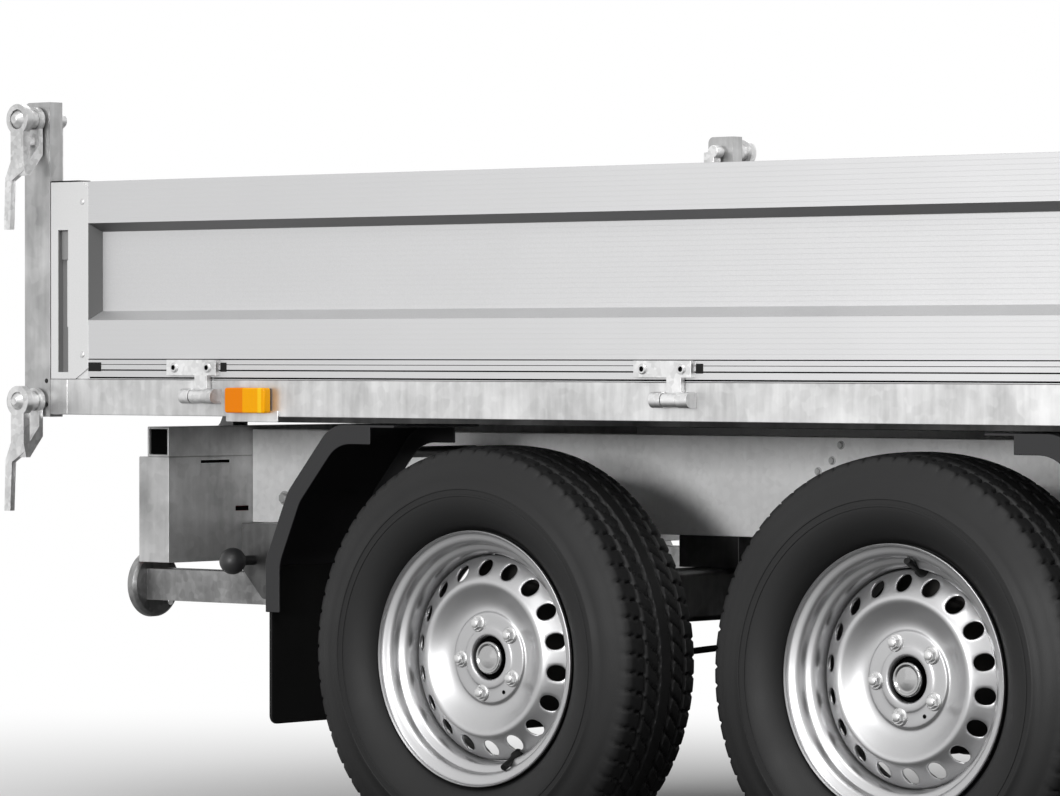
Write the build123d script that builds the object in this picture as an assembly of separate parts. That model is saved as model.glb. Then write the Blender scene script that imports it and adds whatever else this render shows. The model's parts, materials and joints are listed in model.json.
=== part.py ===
from build123d import *
import os
from math import atan2, cos, hypot, radians, sin

# Tandem-axle dump trailer with a flat bed above the wheels, tipped to the rear by a cylinder.
# Millimetres. It is drawn with X forward from the middle between the axles, Y to the left
# and Z up from the ground, and moved at the end so that its box is centred on the origin.

# Running fit of a pin in its bore, gap of a slip joint, and how far a cut runs past its piece
RUNNING_FIT = 0.06
SLIP_GAP = 0.3
CUT_OVER = 1

# Wheels, tyres and axles
AXLE_SPACING = 796
TYRE_RADIUS = 325
TYRE_WIDTH = 188
TREAD_WIDTH = 146
WHEEL_FACE = 910
RIM_WIDTH = 140
FLANGE_RADIUS = 195.5
BEAD_RADIUS = 178
WELL_RADIUS = 160
RIM_SHEET = 4
DISC_SHEET = 5
BOLT_LAND_DEPTH = 60
BOLT_LAND_RADIUS = 77
HOLE_CIRCLE_RADIUS = 140
HOLE_RADIUS = 12.5
HOLE_COUNT = 18
CAP_RADIUS = 32.5
CAP_DEPTH = 47
DRUM_RADIUS = 112
DRUM_WALL = 8
DRUM_LENGTH = 66
SPINDLE_RADIUS = 20
BACKPLATE_RADIUS = 116
BACKPLATE_THICKNESS = 8
DRUM_GAP = 3
BEAM_LEAD = 140
BEAM_SIZE = 80
BEAM_RISE = 90
ARM_WIDTH = 44
ARM_BEAM_RADIUS = 52
ARM_HUB_RADIUS = 38

# Chassis
MEMBER_WEB = 510
MEMBER_FLANGE = 50
MEMBER_HEIGHT = 157
BEAM_PAD_HEIGHT = 50
BEAM_PAD_HALF = 60
MEMBER_WALL = 4
MEMBER_BACK = -1248
MEMBER_FRONT = 1650
CROSS_TUBE = 60
REAR_TUBE = 50
REAR_TUBE_RISE = 6
REAR_TUBE_WALL = 4
REAR_TUBE_HALF = 710
CROSS_TUBE_X = (-600, 1000, 1600)
CROSS_TUBE_RISE = 35

# Rear tip hinge
TIP_X = -1320
TIP_PIN_DROP = 13
TIP_LUG_RADIUS = 20
TIP_PIN_RADIUS = 10
TIP_EAR_WIDTH = 18
TIP_LUG_WIDTH = 8

# Lamp board
BOARD_SHEET = 3
LAMP_BOARD_DEPTH = 70
LAMP_BOARD_HEIGHT = 176
TAIL_LAMP_LENGTH = 200
TAIL_LAMP_DEPTH = 48
TAIL_LAMP_INSET = 30
TAIL_LAMP_CORNER = 16
# Openings of the lamp board, measured in from its end and up from its bottom
LAMP_BOARD_CUTS = [
    # nearer end, farther end, low, high
    (160, 192, 83, 91),
    (77, 146, 164, 170),
]

# Drawbar, overrun coupling and jockey wheel
DRAWBAR_BACK = (760, 470)
DRAWBAR_NOSE = (2520, 75)
DRAWBAR_WIDTH = 60
DRAWBAR_HEIGHT = 100
DRAWBAR_WALL = 4
HOUSING_BACK = 2330
HOUSING_FRONT = 2800
HOUSING_HALF = 42
GAITER_LENGTH = 160
GAITER_FOLDS = 7
SLIDE_RADIUS = 28
BALL_RADIUS = 25.2
BALL_X = 3125
BALL_Z = 450
BALL_HEAD_RADIUS = 38
SOCKET_DEPTH = 28
JOCKEY_X = 2250
JOCKEY_Y = -208
JOCKEY_OUTER_RADIUS = 30
JOCKEY_INNER_RADIUS = 24
JOCKEY_TOP = 790
JOCKEY_BOTTOM = 405
JOCKEY_TRAIL = 45
JOCKEY_WHEEL_RADIUS = 110
JOCKEY_WHEEL_WIDTH = 60

# Bed
BED_HALF = 910
BED_BACK = -1322
BED_FRONT = 1830
RAIL_HEIGHT = 58
RAIL_FLANGE = 40
RAIL_WALL = 3
END_RAIL_DEPTH = 40
FLOOR_SHEET = 3
BED_BEAM_HEIGHT = 46
BED_BEAM_FLANGE = 30
BED_BEAM_X = (-1100, -700, -300, 180, 460, 900, 1300, 1650)
SUB_BEAM_HEIGHT = 28
REST_PAD_HEIGHT = 12
REST_PAD_X = (700, 1560)
REST_PAD_HALF = 40
SUB_BEAM_WALL = 3
POST_WIDTH = 60
POST_DEPTH = 28
POST_DROP = 4
POST_RISE = 132
POST_CORNER = 12
POST_HOLE_RADIUS = 4
POST_HOLE_INSET = 9
POST_HOLE_RISE = (16, 55)
FRONT_POST_RISE = 20
FRONT_POST_DEPTH = 60
HEADBOARD_THICKNESS = 28
HEADBOARD_INSET = 7
HEADBOARD_DROP = 8

# Side boards and tailgate
BOARD_HEIGHT = 321.5
BOARD_THICKNESS = 30
BOARD_SEAT = 0.5
BOARD_END_GAP = 2
RECESS_DEPTH = 19
# Heights of the section's bends over a board of the height above
PANEL_BENDS = (95.5, 110.5, 239.5, 253.5)
END_BLOCK_LENGTH = 87
END_REVEAL = 15
END_PLATE = 3
END_PLATE_CHAMFERS = (12, 30, 18)
END_SLOT_INSET = 17
END_SLOT_WIDTH = 23
END_SLOT_DEPTH = 12
END_SLOT_RISE = (11, 243)
BOARD_HINGE_X = (-990, -17, 465, 1438)
HINGE_OUT = 14
HINGE_RISE = 32
HINGE_PLATE_WIDTH = 110
HINGE_PLATE_THICKNESS = 9
KNUCKLE_RADIUS = 12
KNUCKLE_PIN_RADIUS = 6
KNUCKLE_LENGTH = 72
KNUCKLE_SHIFT = 23
TONGUE_HALF = 14
HINGE_PLATE_HEIGHT = 25
HINGE_PLATE_RISE = 7
TAILGATE_THICKNESS = 27
TAILGATE_INNER = -1345
TAILGATE_SIDE_GAP = 5
LOCK_X = -1350
UPPER_LOCK_DROP = 29
LOWER_LOCK_RISE = 22
LOCK_PIN_RADIUS = 8
LOCK_BOSS_RADIUS = 16
LOCK_REACH = 56
LEVER_THICKNESS = 14
LEVER_INSET = 8
LEVER_LENGTH = 180
LEVER_EYE_RADIUS = 25
YOKE_HALF = 15
YOKE_DEPTH = 92
HANDLE_SWEEP = 34
HANDLE_WIDTH = 16
GATE_ARM = 22
GATE_ARM_DEPTH = 25
GATE_EYE_RADIUS = 12
LAMP_X = (-863, 1329)
LAMP_LENGTH = 88
LAMP_HEIGHT = 40
LAMP_DEPTH = 15
LAMP_RISE = 6
LAMP_PLATE_THICKNESS = 3
LAMP_PLATE_REACH = (55, 59)
LAMP_PLATE_DROP = 8

# Cylinder under the bed
CYLINDER_X = 320
TRUNNION_RISE = 90
ROD_EYE_DROP = 50
BARREL_RADIUS = 58
BARREL_BOTTOM = 250
BARREL_TOP = 650
STAGE_COUNT = 4
STAGE_WALL = 8
STAGE_GAP = 0.5
STAGE_BASE = 12
STAGE_RISE = 6
ROD_EYE_RADIUS = 24
ROD_EYE_HALF = 22
TRUNNION_RADIUS = 18
CRADLE_HALF = 100
LIFT_EAR_THICKNESS = 12
LIFT_EAR_RADIUS = 30
CRADLE_TUBE_LEAD = 110
CRADLE_TUBE_WIDTH = 50
CRADLE_TUBE_HEIGHT = 60
CRADLE_PLATE = 15

# Mudguards
GUARD_INNER = 710
GUARD_SHEET = 4
GUARD_LIP = 30
GUARD_ROUND = 60
GUARD_OUTLINE = ((834, 382), (834, 465), (786, 573), (694, 679), (560, 679))
FLAP_BOTTOM = 205
FLAP_TOP = 455
FLAP_SHEET = 6
STAY_RADIUS = 9

# Support legs
LEG_Y = 660
LEG_TUBE = 52
LEG_WALL = 3
LEG_PIVOT_X = -1035
LEG_Z = 404
LEG_END = -1339
LEG_TAIL = 30
LEG_PIVOT_RADIUS = 8
DISH_RADIUS = 56
DISH_DEPTH = 16
DISH_SHEET = 4
DISH_HOLE_RADIUS = 6
DISH_HOLE_AT = (-30, -31)
BRACKET_TAIL = 26
BRACKET_NOSE = 40
CHEEK_THICKNESS = 5
KNOB_RADIUS = 22
KNOB_X = -1070
KNOB_Z = 451
KNOB_REACH = 48
KNOB_STEM_RADIUS = 8
KNOB_STEM_LENGTH = 36

# Worked out from the sizes above
HUB_Z = TYRE_RADIUS
BEAM_Z = HUB_Z + BEAM_RISE
MEMBER_BOTTOM = BEAM_Z + BEAM_SIZE / 2 + BEAM_PAD_HEIGHT
MEMBER_TOP = MEMBER_BOTTOM + MEMBER_HEIGHT
CROSS_TUBE_LOW = MEMBER_BOTTOM + CROSS_TUBE_RISE
REAR_TUBE_TOP = MEMBER_TOP + REAR_TUBE_RISE
TIP_Z = REAR_TUBE_TOP - TIP_PIN_DROP
SUB_BEAM_BOTTOM = MEMBER_TOP + REST_PAD_HEIGHT
BED_BEAM_BOTTOM = SUB_BEAM_BOTTOM + SUB_BEAM_HEIGHT
RAIL_TOP = BED_BEAM_BOTTOM + BED_BEAM_HEIGHT
RAIL_BOTTOM = RAIL_TOP - RAIL_HEIGHT
REAR_HUB_X = -AXLE_SPACING / 2
FRONT_HUB_X = AXLE_SPACING / 2
HUB_X = (REAR_HUB_X, FRONT_HUB_X)
WHEEL_CENTRE = WHEEL_FACE - RIM_WIDTH / 2
BOLT_LAND = WHEEL_FACE - BOLT_LAND_DEPTH
DRUM_BACK = BOLT_LAND - DISC_SHEET - DRUM_LENGTH - 50
BACKPLATE_OUT = DRUM_BACK - DRUM_GAP
BACKPLATE_IN = BACKPLATE_OUT - BACKPLATE_THICKNESS
ARM_OUT = BACKPLATE_IN - 10
ARM_IN = ARM_OUT - ARM_WIDTH
MEMBER_LIP = MEMBER_WEB - MEMBER_FLANGE
MEMBER_MID = MEMBER_WEB - MEMBER_FLANGE / 2
REAR_TUBE_X = (MEMBER_BACK - REAR_TUBE, MEMBER_BACK)
REAR_TUBE_BOTTOM = REAR_TUBE_TOP - REAR_TUBE
LAMP_BOARD_BOTTOM = REAR_TUBE_BOTTOM - LAMP_BOARD_HEIGHT
FLOOR_TOP = RAIL_TOP + FLOOR_SHEET
TRUNNION_Z = MEMBER_BOTTOM + TRUNNION_RISE
ROD_EYE_Z = RAIL_TOP - ROD_EYE_DROP
HINGE_Z = RAIL_BOTTOM + HINGE_RISE
LOWER_LOCK_Z = RAIL_BOTTOM + LOWER_LOCK_RISE
LAMP_BOTTOM = RAIL_BOTTOM + LAMP_RISE
POST_BACK = BED_BACK - POST_WIDTH
POST_BOTTOM = RAIL_BOTTOM - POST_DROP
FRONT_POST_BACK = BED_FRONT - POST_WIDTH
BOARD_BOTTOM = RAIL_TOP + BOARD_SEAT
BOARD_TOP = BOARD_BOTTOM + BOARD_HEIGHT
POST_TOP = BOARD_TOP + POST_RISE
UPPER_LOCK_Z = POST_TOP - UPPER_LOCK_DROP
FRONT_POST_TOP = BOARD_TOP + FRONT_POST_RISE
BOARD_BACK = BED_BACK + BOARD_END_GAP
BOARD_FRONT = FRONT_POST_BACK - BOARD_END_GAP
BOARD_INNER = BED_HALF - BOARD_THICKNESS
HINGE_Y = BED_HALF + HINGE_OUT
TAILGATE_OUTER = TAILGATE_INNER - TAILGATE_THICKNESS
TAILGATE_HALF = BED_HALF - POST_DEPTH - TAILGATE_SIDE_GAP
HEADBOARD_HALF = BED_HALF - FRONT_POST_DEPTH
HEADBOARD_X = (BED_FRONT - HEADBOARD_INSET - HEADBOARD_THICKNESS, BED_FRONT - HEADBOARD_INSET)
GATE_ARM_Y = (TAILGATE_HALF - GATE_ARM, TAILGATE_HALF)
POST_CUT = (BED_HALF - POST_DEPTH - CUT_OVER, BED_HALF + CUT_OVER)
LEVER_Y = (BED_HALF + LOCK_REACH - LEVER_INSET - LEVER_THICKNESS, BED_HALF + LOCK_REACH - LEVER_INSET)
KNUCKLE_X = [
    (x + KNUCKLE_SHIFT - KNUCKLE_LENGTH / 2, x + KNUCKLE_SHIFT + KNUCKLE_LENGTH / 2) for x in BOARD_HINGE_X
]
HOUSING_Z = BALL_Z
DRAWBAR_TOP = MEMBER_BOTTOM
DRAWBAR_BOTTOM = DRAWBAR_TOP - DRAWBAR_HEIGHT
TRAILER_NOSE = BALL_X + BALL_HEAD_RADIUS + 17
TRAILER_TAIL = min(LEG_END, POST_BACK, LOCK_X - HANDLE_SWEEP)
ORIGIN_X = (TRAILER_NOSE + TRAILER_TAIL) / 2
STAGE_TABLE = [
    # number, outer radius, bottom, top
    (
        number,
        BARREL_RADIUS - number * (STAGE_WALL + STAGE_GAP),
        BARREL_BOTTOM + STAGE_BASE + STAGE_RISE * number,
        BARREL_TOP + STAGE_RISE * number,
    )
    for number in range(1, STAGE_COUNT + 1)
]


def mirrored_pair(shape):
    """The shape on the left side and its mirror image on the right."""
    return [shape, mirror(shape, about=Plane.XZ)]


def block(x, y, z):
    """A box between the two values of each of x, y and z."""
    middle = [(pair[0] + pair[1]) / 2 for pair in (x, y, z)]
    size = [abs(pair[1] - pair[0]) for pair in (x, y, z)]
    return Pos(*middle) * Box(*size)


def slab(axis, face, low, high):
    """A face drawn in the two other directions, carried along an axis from low to high."""
    planes = {
        "x": Plane(origin=(low, 0, 0), x_dir=(0, 1, 0), z_dir=(1, 0, 0)),
        "y": Plane(origin=(0, high, 0), x_dir=(1, 0, 0), z_dir=(0, -1, 0)),
        "z": Plane(origin=(0, 0, low), x_dir=(1, 0, 0), z_dir=(0, 0, 1)),
    }
    return extrude(planes[axis] * face, amount=high - low)


def polygon(*points):
    """A flat face with straight sides."""
    return make_face(Polyline(*points, close=True))


def rounded(radius, *points):
    """A flat face with straight sides and rounded corners."""
    return make_face(FilletPolyline(*points, radius=radius, close=True))


def rod(axis, at, radius, low, high):
    """A round bar along an axis, centred on the two other coordinates."""
    return slab(axis, Pos(*at) * Circle(radius), low, high)


def pipe(axis, at, outer, inner, low, high):
    """A round tube along an axis."""
    return slab(axis, Pos(*at) * (Circle(outer) - Circle(inner)), low, high)


def channel(web, lip, low, high, wall):
    """The face of a C section whose web stands at web and whose flanges reach to lip."""
    inside = web - wall if web > lip else web + wall
    return polygon(
        (web, low), (lip, low), (lip, low + wall), (inside, low + wall),
        (inside, high - wall), (lip, high - wall), (lip, high), (web, high),
    )


def square_tube(width, height, wall):
    """The face of a box section centred on its origin."""
    return Rectangle(width, height) - Rectangle(width - 2 * wall, height - 2 * wall)


def inset(points, gap):
    """The same open line moved to its right by gap, with its corners kept sharp."""
    moved = []
    for index, point in enumerate(points):
        before = points[max(index - 1, 0)]
        after = points[min(index + 1, len(points) - 1)]
        turns = [
            atan2(b[1] - a[1], b[0] - a[0])
            for a, b in ((before, point), (point, after))
            if a != b
        ]
        middle = atan2(sum(sin(turn) for turn in turns), sum(cos(turn) for turn in turns))
        reach = gap / cos(turns[0] - middle)
        moved.append((point[0] + reach * sin(middle), point[1] - reach * cos(middle)))
    return moved


def strip(points, gap, radius=0):
    """The face between an open line and its inset, with bends of one radius."""
    inner = inset(points, gap)
    if radius:
        edges = [FilletPolyline(*points, radius=radius), FilletPolyline(*inner, radius=radius)]
    else:
        edges = [Polyline(*points), Polyline(*inner)]
    return make_face(edges + [Line(points[0], inner[0]), Line(points[-1], inner[-1])])


def turned(face, x, z):
    """A face drawn with Y across and radius up, turned about the cross axis at x and z."""
    across = Plane(origin=(x, 0, z), x_dir=(0, 1, 0), z_dir=(1, 0, 0))
    return revolve(across * face, Axis((x, 0, z), (0, 1, 0)), 360)


def panel_face(outer, inner, low, high):
    """Section of an aluminium board: boxes at top and bottom and a recess between them."""
    inward = 1 if inner > outer else -1
    deep = outer + inward * RECESS_DEPTH
    bends = [low + bend * (high - low) / BOARD_HEIGHT for bend in PANEL_BENDS]
    return polygon(
        (inner, low), (outer, low), (outer, bends[0]), (deep, bends[1]),
        (deep, bends[2]), (outer, bends[3]), (outer, high), (inner, high),
    )


def save(name, *shapes):
    """Write the solids of one node, moved so that the trailer is centred on its origin."""
    solids = []
    for shape in shapes:
        for piece in shape if isinstance(shape, (list, tuple)) else [shape]:
            solids += (Pos(-ORIGIN_X, 0, 0) * piece).solids()
    export_step(Compound(solids), f"parts/{name}.step")


def build_frame():
    """Side members, cross tubes, rear tube with its tip hinge, lamp board and rest pads."""
    member = slab(
        "x", channel(MEMBER_WEB, MEMBER_LIP, MEMBER_BOTTOM, MEMBER_TOP, MEMBER_WALL),
        MEMBER_BACK, MEMBER_FRONT,
    )
    save("side_members", mirrored_pair(member))
    span = MEMBER_WEB - MEMBER_WALL
    tubes = [
        slab("y", Pos(x, CROSS_TUBE_LOW + CROSS_TUBE / 2)
             * square_tube(CROSS_TUBE, CROSS_TUBE, MEMBER_WALL), -span, span)
        for x in CROSS_TUBE_X
    ]
    save("chassis_cross_tubes", tubes)

    rear = slab(
        "y", Pos(sum(REAR_TUBE_X) / 2, REAR_TUBE_TOP - REAR_TUBE / 2)
        * square_tube(REAR_TUBE, REAR_TUBE, REAR_TUBE_WALL), -REAR_TUBE_HALF, REAR_TUBE_HALF,
    )
    ear_low = MEMBER_MID - TIP_EAR_WIDTH / 2
    ear_high = MEMBER_MID + TIP_EAR_WIDTH / 2
    ear = slab("y", Pos(TIP_X, TIP_Z) * Circle(TIP_LUG_RADIUS), ear_low, ear_high)
    ear += block(
        (TIP_X, REAR_TUBE_X[0]), (ear_low, ear_high),
        (TIP_Z - TIP_LUG_RADIUS, REAR_TUBE_TOP),
    )
    pin_half = TIP_EAR_WIDTH / 2 + TIP_LUG_WIDTH + 6
    ear += rod("y", (TIP_X, TIP_Z), TIP_PIN_RADIUS, MEMBER_MID - pin_half, MEMBER_MID + pin_half)
    save("rear_cross_tube", rear)
    save("tip_hinge_ears", mirrored_pair(ear))

    back = (REAR_TUBE_X[1] - BOARD_SHEET, REAR_TUBE_X[1])
    depth = (REAR_TUBE_X[1] - LAMP_BOARD_DEPTH, REAR_TUBE_X[1])
    tall = (LAMP_BOARD_BOTTOM, REAR_TUBE_BOTTOM)
    board = block(back, (-REAR_TUBE_HALF, REAR_TUBE_HALF), tall)
    for low in (tall[0], tall[1] - BOARD_SHEET):
        board += block(depth, (-REAR_TUBE_HALF, REAR_TUBE_HALF), (low, low + BOARD_SHEET))
    for end in mirrored_pair(block(depth, (REAR_TUBE_HALF - BOARD_SHEET, REAR_TUBE_HALF), tall)):
        board += end
    for near, far, low, high in LAMP_BOARD_CUTS:
        across = (REAR_TUBE_HALF - far, REAR_TUBE_HALF - near)
        for cut in mirrored_pair(block((back[0] - CUT_OVER, back[1] + CUT_OVER), across,
                                       (tall[0] + low, tall[0] + high))):
            board -= cut
    save("lamp_board", board)
    outer = REAR_TUBE_HALF - TAIL_LAMP_INSET
    inner = outer - TAIL_LAMP_LENGTH
    low, high = tall[0] + TAIL_LAMP_INSET, tall[1] - TAIL_LAMP_INSET
    lamp = slab(
        "x", rounded(TAIL_LAMP_CORNER, (inner, low), (outer, low), (outer, high), (inner, high)),
        back[0] - TAIL_LAMP_DEPTH, back[0],
    )
    save("tail_lamps", mirrored_pair(lamp))

    pad_gap = REST_PAD_HEIGHT - SLIP_GAP
    pads = [
        block((x - REST_PAD_HALF, x + REST_PAD_HALF), (MEMBER_LIP + 5, MEMBER_WEB - 5),
              (MEMBER_TOP, MEMBER_TOP + pad_gap))
        for x in REST_PAD_X
    ]
    save("bed_rest_pads", *[mirrored_pair(pad) for pad in pads])


def build_drawbar():
    """The two arms of the drawbar, the overrun coupling and the handbrake."""
    back, nose = DRAWBAR_BACK, DRAWBAR_NOSE
    slope = atan2(nose[1] - back[1], nose[0] - back[0])

    def arm_face(half):
        across = half / cos(slope)
        return polygon(
            (back[0], back[1] - across), (nose[0], nose[1] - across),
            (nose[0], nose[1] + across), (back[0], back[1] + across),
        )

    arm = slab("z", arm_face(DRAWBAR_WIDTH / 2), DRAWBAR_BOTTOM, DRAWBAR_TOP)
    arm -= slab(
        "z", arm_face(DRAWBAR_WIDTH / 2 - DRAWBAR_WALL),
        DRAWBAR_BOTTOM + DRAWBAR_WALL, DRAWBAR_TOP - DRAWBAR_WALL,
    )
    save("drawbar_arms", mirrored_pair(arm))

    tall = (HOUSING_Z - HOUSING_HALF, HOUSING_Z + HOUSING_HALF)
    body = slab(
        "x", Pos(0, HOUSING_Z) * RectangleRounded(2 * HOUSING_HALF, 2 * HOUSING_HALF, 12),
        HOUSING_BACK, HOUSING_FRONT,
    )
    body += block((HOUSING_BACK + 40, nose[0]), (-30, 30), (tall[1], DRAWBAR_TOP))
    body += block(
        (HOUSING_BACK + 40, nose[0]), (-nose[1] - 25, nose[1] + 25), (DRAWBAR_TOP, DRAWBAR_TOP + 6)
    )
    body += rod("x", (0, HOUSING_Z), HOUSING_HALF - 4, HOUSING_FRONT, HOUSING_FRONT + 14)
    save("overrun_housing", body)

    start = HOUSING_FRONT + 14
    pitch = GAITER_LENGTH / GAITER_FOLDS
    profile = [(start, SLIDE_RADIUS + SLIP_GAP)]
    for fold in range(GAITER_FOLDS):
        left = start + fold * pitch
        ridge = 46 - fold * 1.2
        profile += [(left, ridge - 10), (left + pitch / 2, ridge)]
    profile += [(start + GAITER_LENGTH, 34), (start + GAITER_LENGTH, SLIDE_RADIUS + SLIP_GAP)]
    face = polygon(*profile)
    gaiter = revolve(
        Plane(origin=(0, 0, HOUSING_Z), x_dir=(1, 0, 0), z_dir=(0, -1, 0)) * face,
        Axis((0, 0, HOUSING_Z), (1, 0, 0)), 360,
    )
    save("overrun_gaiter", gaiter)

    head = rod("x", (0, HOUSING_Z), SLIDE_RADIUS, start, BALL_X - 120)
    head += slab(
        "x", Pos(0, HOUSING_Z) * RectangleRounded(76, 72, 14), start + GAITER_LENGTH, BALL_X - 60
    )
    dome = rod("z", (BALL_X, 0), BALL_HEAD_RADIUS, BALL_Z - 26, BALL_Z + 10)
    dome += Pos(BALL_X, 0, BALL_Z + 10) * Sphere(BALL_HEAD_RADIUS)
    neck = slab("z", polygon((BALL_X - 90, -38), (BALL_X, -30), (BALL_X, 30), (BALL_X - 90, 38)),
                BALL_Z - 14, BALL_Z + 34)
    lip = block((BALL_X, TRAILER_NOSE), (-14, 14), (BALL_Z - 10, BALL_Z + 6))
    head += dome + neck + lip
    head -= rod("z", (BALL_X, 0), BALL_RADIUS, BALL_Z - 60, BALL_Z - 26 + SOCKET_DEPTH)
    grip = slab(
        "y", rounded(4, (BALL_X - 84, BALL_Z + 30), (BALL_X - 20, BALL_Z + 40),
                     (BALL_X - 20, BALL_Z + 56), (BALL_X - 64, BALL_Z + 58),
                     (BALL_X - 190, BALL_Z + 104), (BALL_X - 194, BALL_Z + 92)),
        -12, 12,
    )
    save("coupling_head", head + grip)

    foot_x = HOUSING_BACK + 180
    lever = slab(
        "y", rounded(6, (foot_x - 40, DRAWBAR_TOP + 6), (foot_x + 40, DRAWBAR_TOP + 6),
                     (foot_x + 20, DRAWBAR_TOP + 60), (foot_x - 20, DRAWBAR_TOP + 60)),
        -54, -46,
    )
    lever += slab(
        "y", rounded(5, (foot_x - 12, DRAWBAR_TOP + 30), (foot_x + 12, DRAWBAR_TOP + 30),
                     (foot_x + 78, DRAWBAR_TOP + 300), (foot_x + 54, DRAWBAR_TOP + 304)),
        -62, -54,
    )
    lever += Pos(foot_x + 66, -58, DRAWBAR_TOP + 350) * Rotation(0, 14, 0) * Cylinder(15, 110)
    save("handbrake_lever", lever)


def build_power_pack():
    """Box of the pump and battery on the drawbar, with an overhanging lid."""
    case = slab(
        "z", rounded(12, (1880, -190), (2180, -190), (2180, 190), (1880, 190)),
        DRAWBAR_TOP, DRAWBAR_TOP + 232,
    )
    lid = slab(
        "z", rounded(14, (1874, -196), (2186, -196), (2186, 196), (1874, 196)),
        DRAWBAR_TOP + 232, DRAWBAR_TOP + 262,
    )
    save("power_pack", case + lid)


def build_jockey():
    """Jockey wheel: clamped outer tube, inner tube, swivelling fork and wheel."""
    at = (JOCKEY_X, JOCKEY_Y)
    outer = pipe(
        "z", at, JOCKEY_OUTER_RADIUS, JOCKEY_INNER_RADIUS + RUNNING_FIT, JOCKEY_BOTTOM, JOCKEY_TOP
    )
    slope = (DRAWBAR_NOSE[1] - DRAWBAR_BACK[1]) / (DRAWBAR_NOSE[0] - DRAWBAR_BACK[0])
    side = DRAWBAR_WIDTH / 2 / cos(atan2(slope, 1))

    def arm_side(x):
        return -(DRAWBAR_BACK[1] + slope * (x - DRAWBAR_BACK[0]) + side)

    low, high = JOCKEY_X - 34, JOCKEY_X + 34
    clamp = polygon((low, arm_side(low)), (high, arm_side(high)), (high, JOCKEY_Y), (low, JOCKEY_Y))
    clamp += Pos(*at) * Circle(JOCKEY_OUTER_RADIUS + 8)
    clamp -= Pos(*at) * Circle(JOCKEY_OUTER_RADIUS - 1)
    outer += slab("z", clamp, DRAWBAR_BOTTOM + 22, DRAWBAR_TOP - 22)
    cap = rod("z", at, JOCKEY_OUTER_RADIUS + 4, JOCKEY_TOP, JOCKEY_TOP + 14)
    crank = rod("z", at, 8, JOCKEY_TOP + 14, JOCKEY_TOP + 40)
    crank += block((JOCKEY_X - 8, JOCKEY_X + 8), (JOCKEY_Y - 120, JOCKEY_Y + 8),
                   (JOCKEY_TOP + 32, JOCKEY_TOP + 40))
    crank += rod("z", (JOCKEY_X, JOCKEY_Y - 112), 13, JOCKEY_TOP + 40, JOCKEY_TOP + 120)
    save("jockey_outer_tube", outer + cap + crank)

    top = 2 * JOCKEY_WHEEL_RADIUS + 25
    inner = pipe("z", at, JOCKEY_INNER_RADIUS, JOCKEY_INNER_RADIUS - 4, top, JOCKEY_BOTTOM + 215)
    save("jockey_inner_tube", inner)

    axle = (JOCKEY_X - JOCKEY_TRAIL, JOCKEY_WHEEL_RADIUS)
    gap = JOCKEY_WHEEL_WIDTH / 2 + 3
    fork = block(
        (JOCKEY_X - JOCKEY_TRAIL - 20, JOCKEY_X + 28), (JOCKEY_Y - gap - 5, JOCKEY_Y + gap + 5),
        (top - 8 - SLIP_GAP, top - SLIP_GAP),
    )
    cheek = rounded(
        8, (axle[0] - 18, axle[1] - 18), (axle[0] + 18, axle[1] - 18),
        (JOCKEY_X + 26, top - 4), (axle[0] - 18, top - 4),
    )
    for low in (JOCKEY_Y - gap - 5, JOCKEY_Y + gap):
        fork += slab("y", cheek, low, low + 5)
    fork += rod("y", axle, 8, JOCKEY_Y - gap - 12, JOCKEY_Y + gap + 12)
    save("jockey_fork", fork)

    half = JOCKEY_WHEEL_WIDTH / 2
    tyre = rounded(
        14, (JOCKEY_Y - half, 60), (JOCKEY_Y - half, JOCKEY_WHEEL_RADIUS),
        (JOCKEY_Y + half, JOCKEY_WHEEL_RADIUS), (JOCKEY_Y + half, 60),
    )
    web = polygon(
        (JOCKEY_Y - 8, 20), (JOCKEY_Y - 8, 70), (JOCKEY_Y + 8, 70), (JOCKEY_Y + 8, 20)
    )
    hub = polygon(
        (JOCKEY_Y - half, 8 + RUNNING_FIT), (JOCKEY_Y - half, 24),
        (JOCKEY_Y + half, 24), (JOCKEY_Y + half, 8 + RUNNING_FIT),
    )
    save("jockey_wheel", turned(tyre, *axle) + turned(web, *axle) + turned(hub, *axle))


def build_axles():
    """Two rubber-sprung axle beams with trailing arms, spindles and brake backplates."""
    half = BEAM_SIZE / 2
    beams, arms = [], []
    for hub_x in HUB_X:
        beam_x = hub_x + BEAM_LEAD
        beam = slab("y", Pos(beam_x, BEAM_Z) * RectangleRounded(BEAM_SIZE, BEAM_SIZE, 10),
                    -ARM_IN, ARM_IN)
        pad = block(
            (beam_x - BEAM_PAD_HALF, beam_x + BEAM_PAD_HALF), (MEMBER_LIP, MEMBER_WEB),
            (BEAM_Z + half, MEMBER_BOTTOM),
        )
        for part in mirrored_pair(pad):
            beam += part
        beams.append(beam)
        outline = make_hull(
            (Pos(beam_x, BEAM_Z) * Circle(ARM_BEAM_RADIUS)).edges()
            + (Pos(hub_x, HUB_Z) * Circle(ARM_HUB_RADIUS)).edges()
        )
        arm = slab("y", outline, ARM_IN, ARM_OUT)
        arm += rod("y", (hub_x, HUB_Z), ARM_HUB_RADIUS, ARM_OUT, BACKPLATE_IN)
        arm += rod("y", (hub_x, HUB_Z), BACKPLATE_RADIUS, BACKPLATE_IN, BACKPLATE_OUT)
        arm += rod("y", (hub_x, HUB_Z), SPINDLE_RADIUS, BACKPLATE_OUT, BOLT_LAND - 12)
        arms += mirrored_pair(arm)
    save("axle_beams", beams)
    save("swing_arms", arms)


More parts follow.
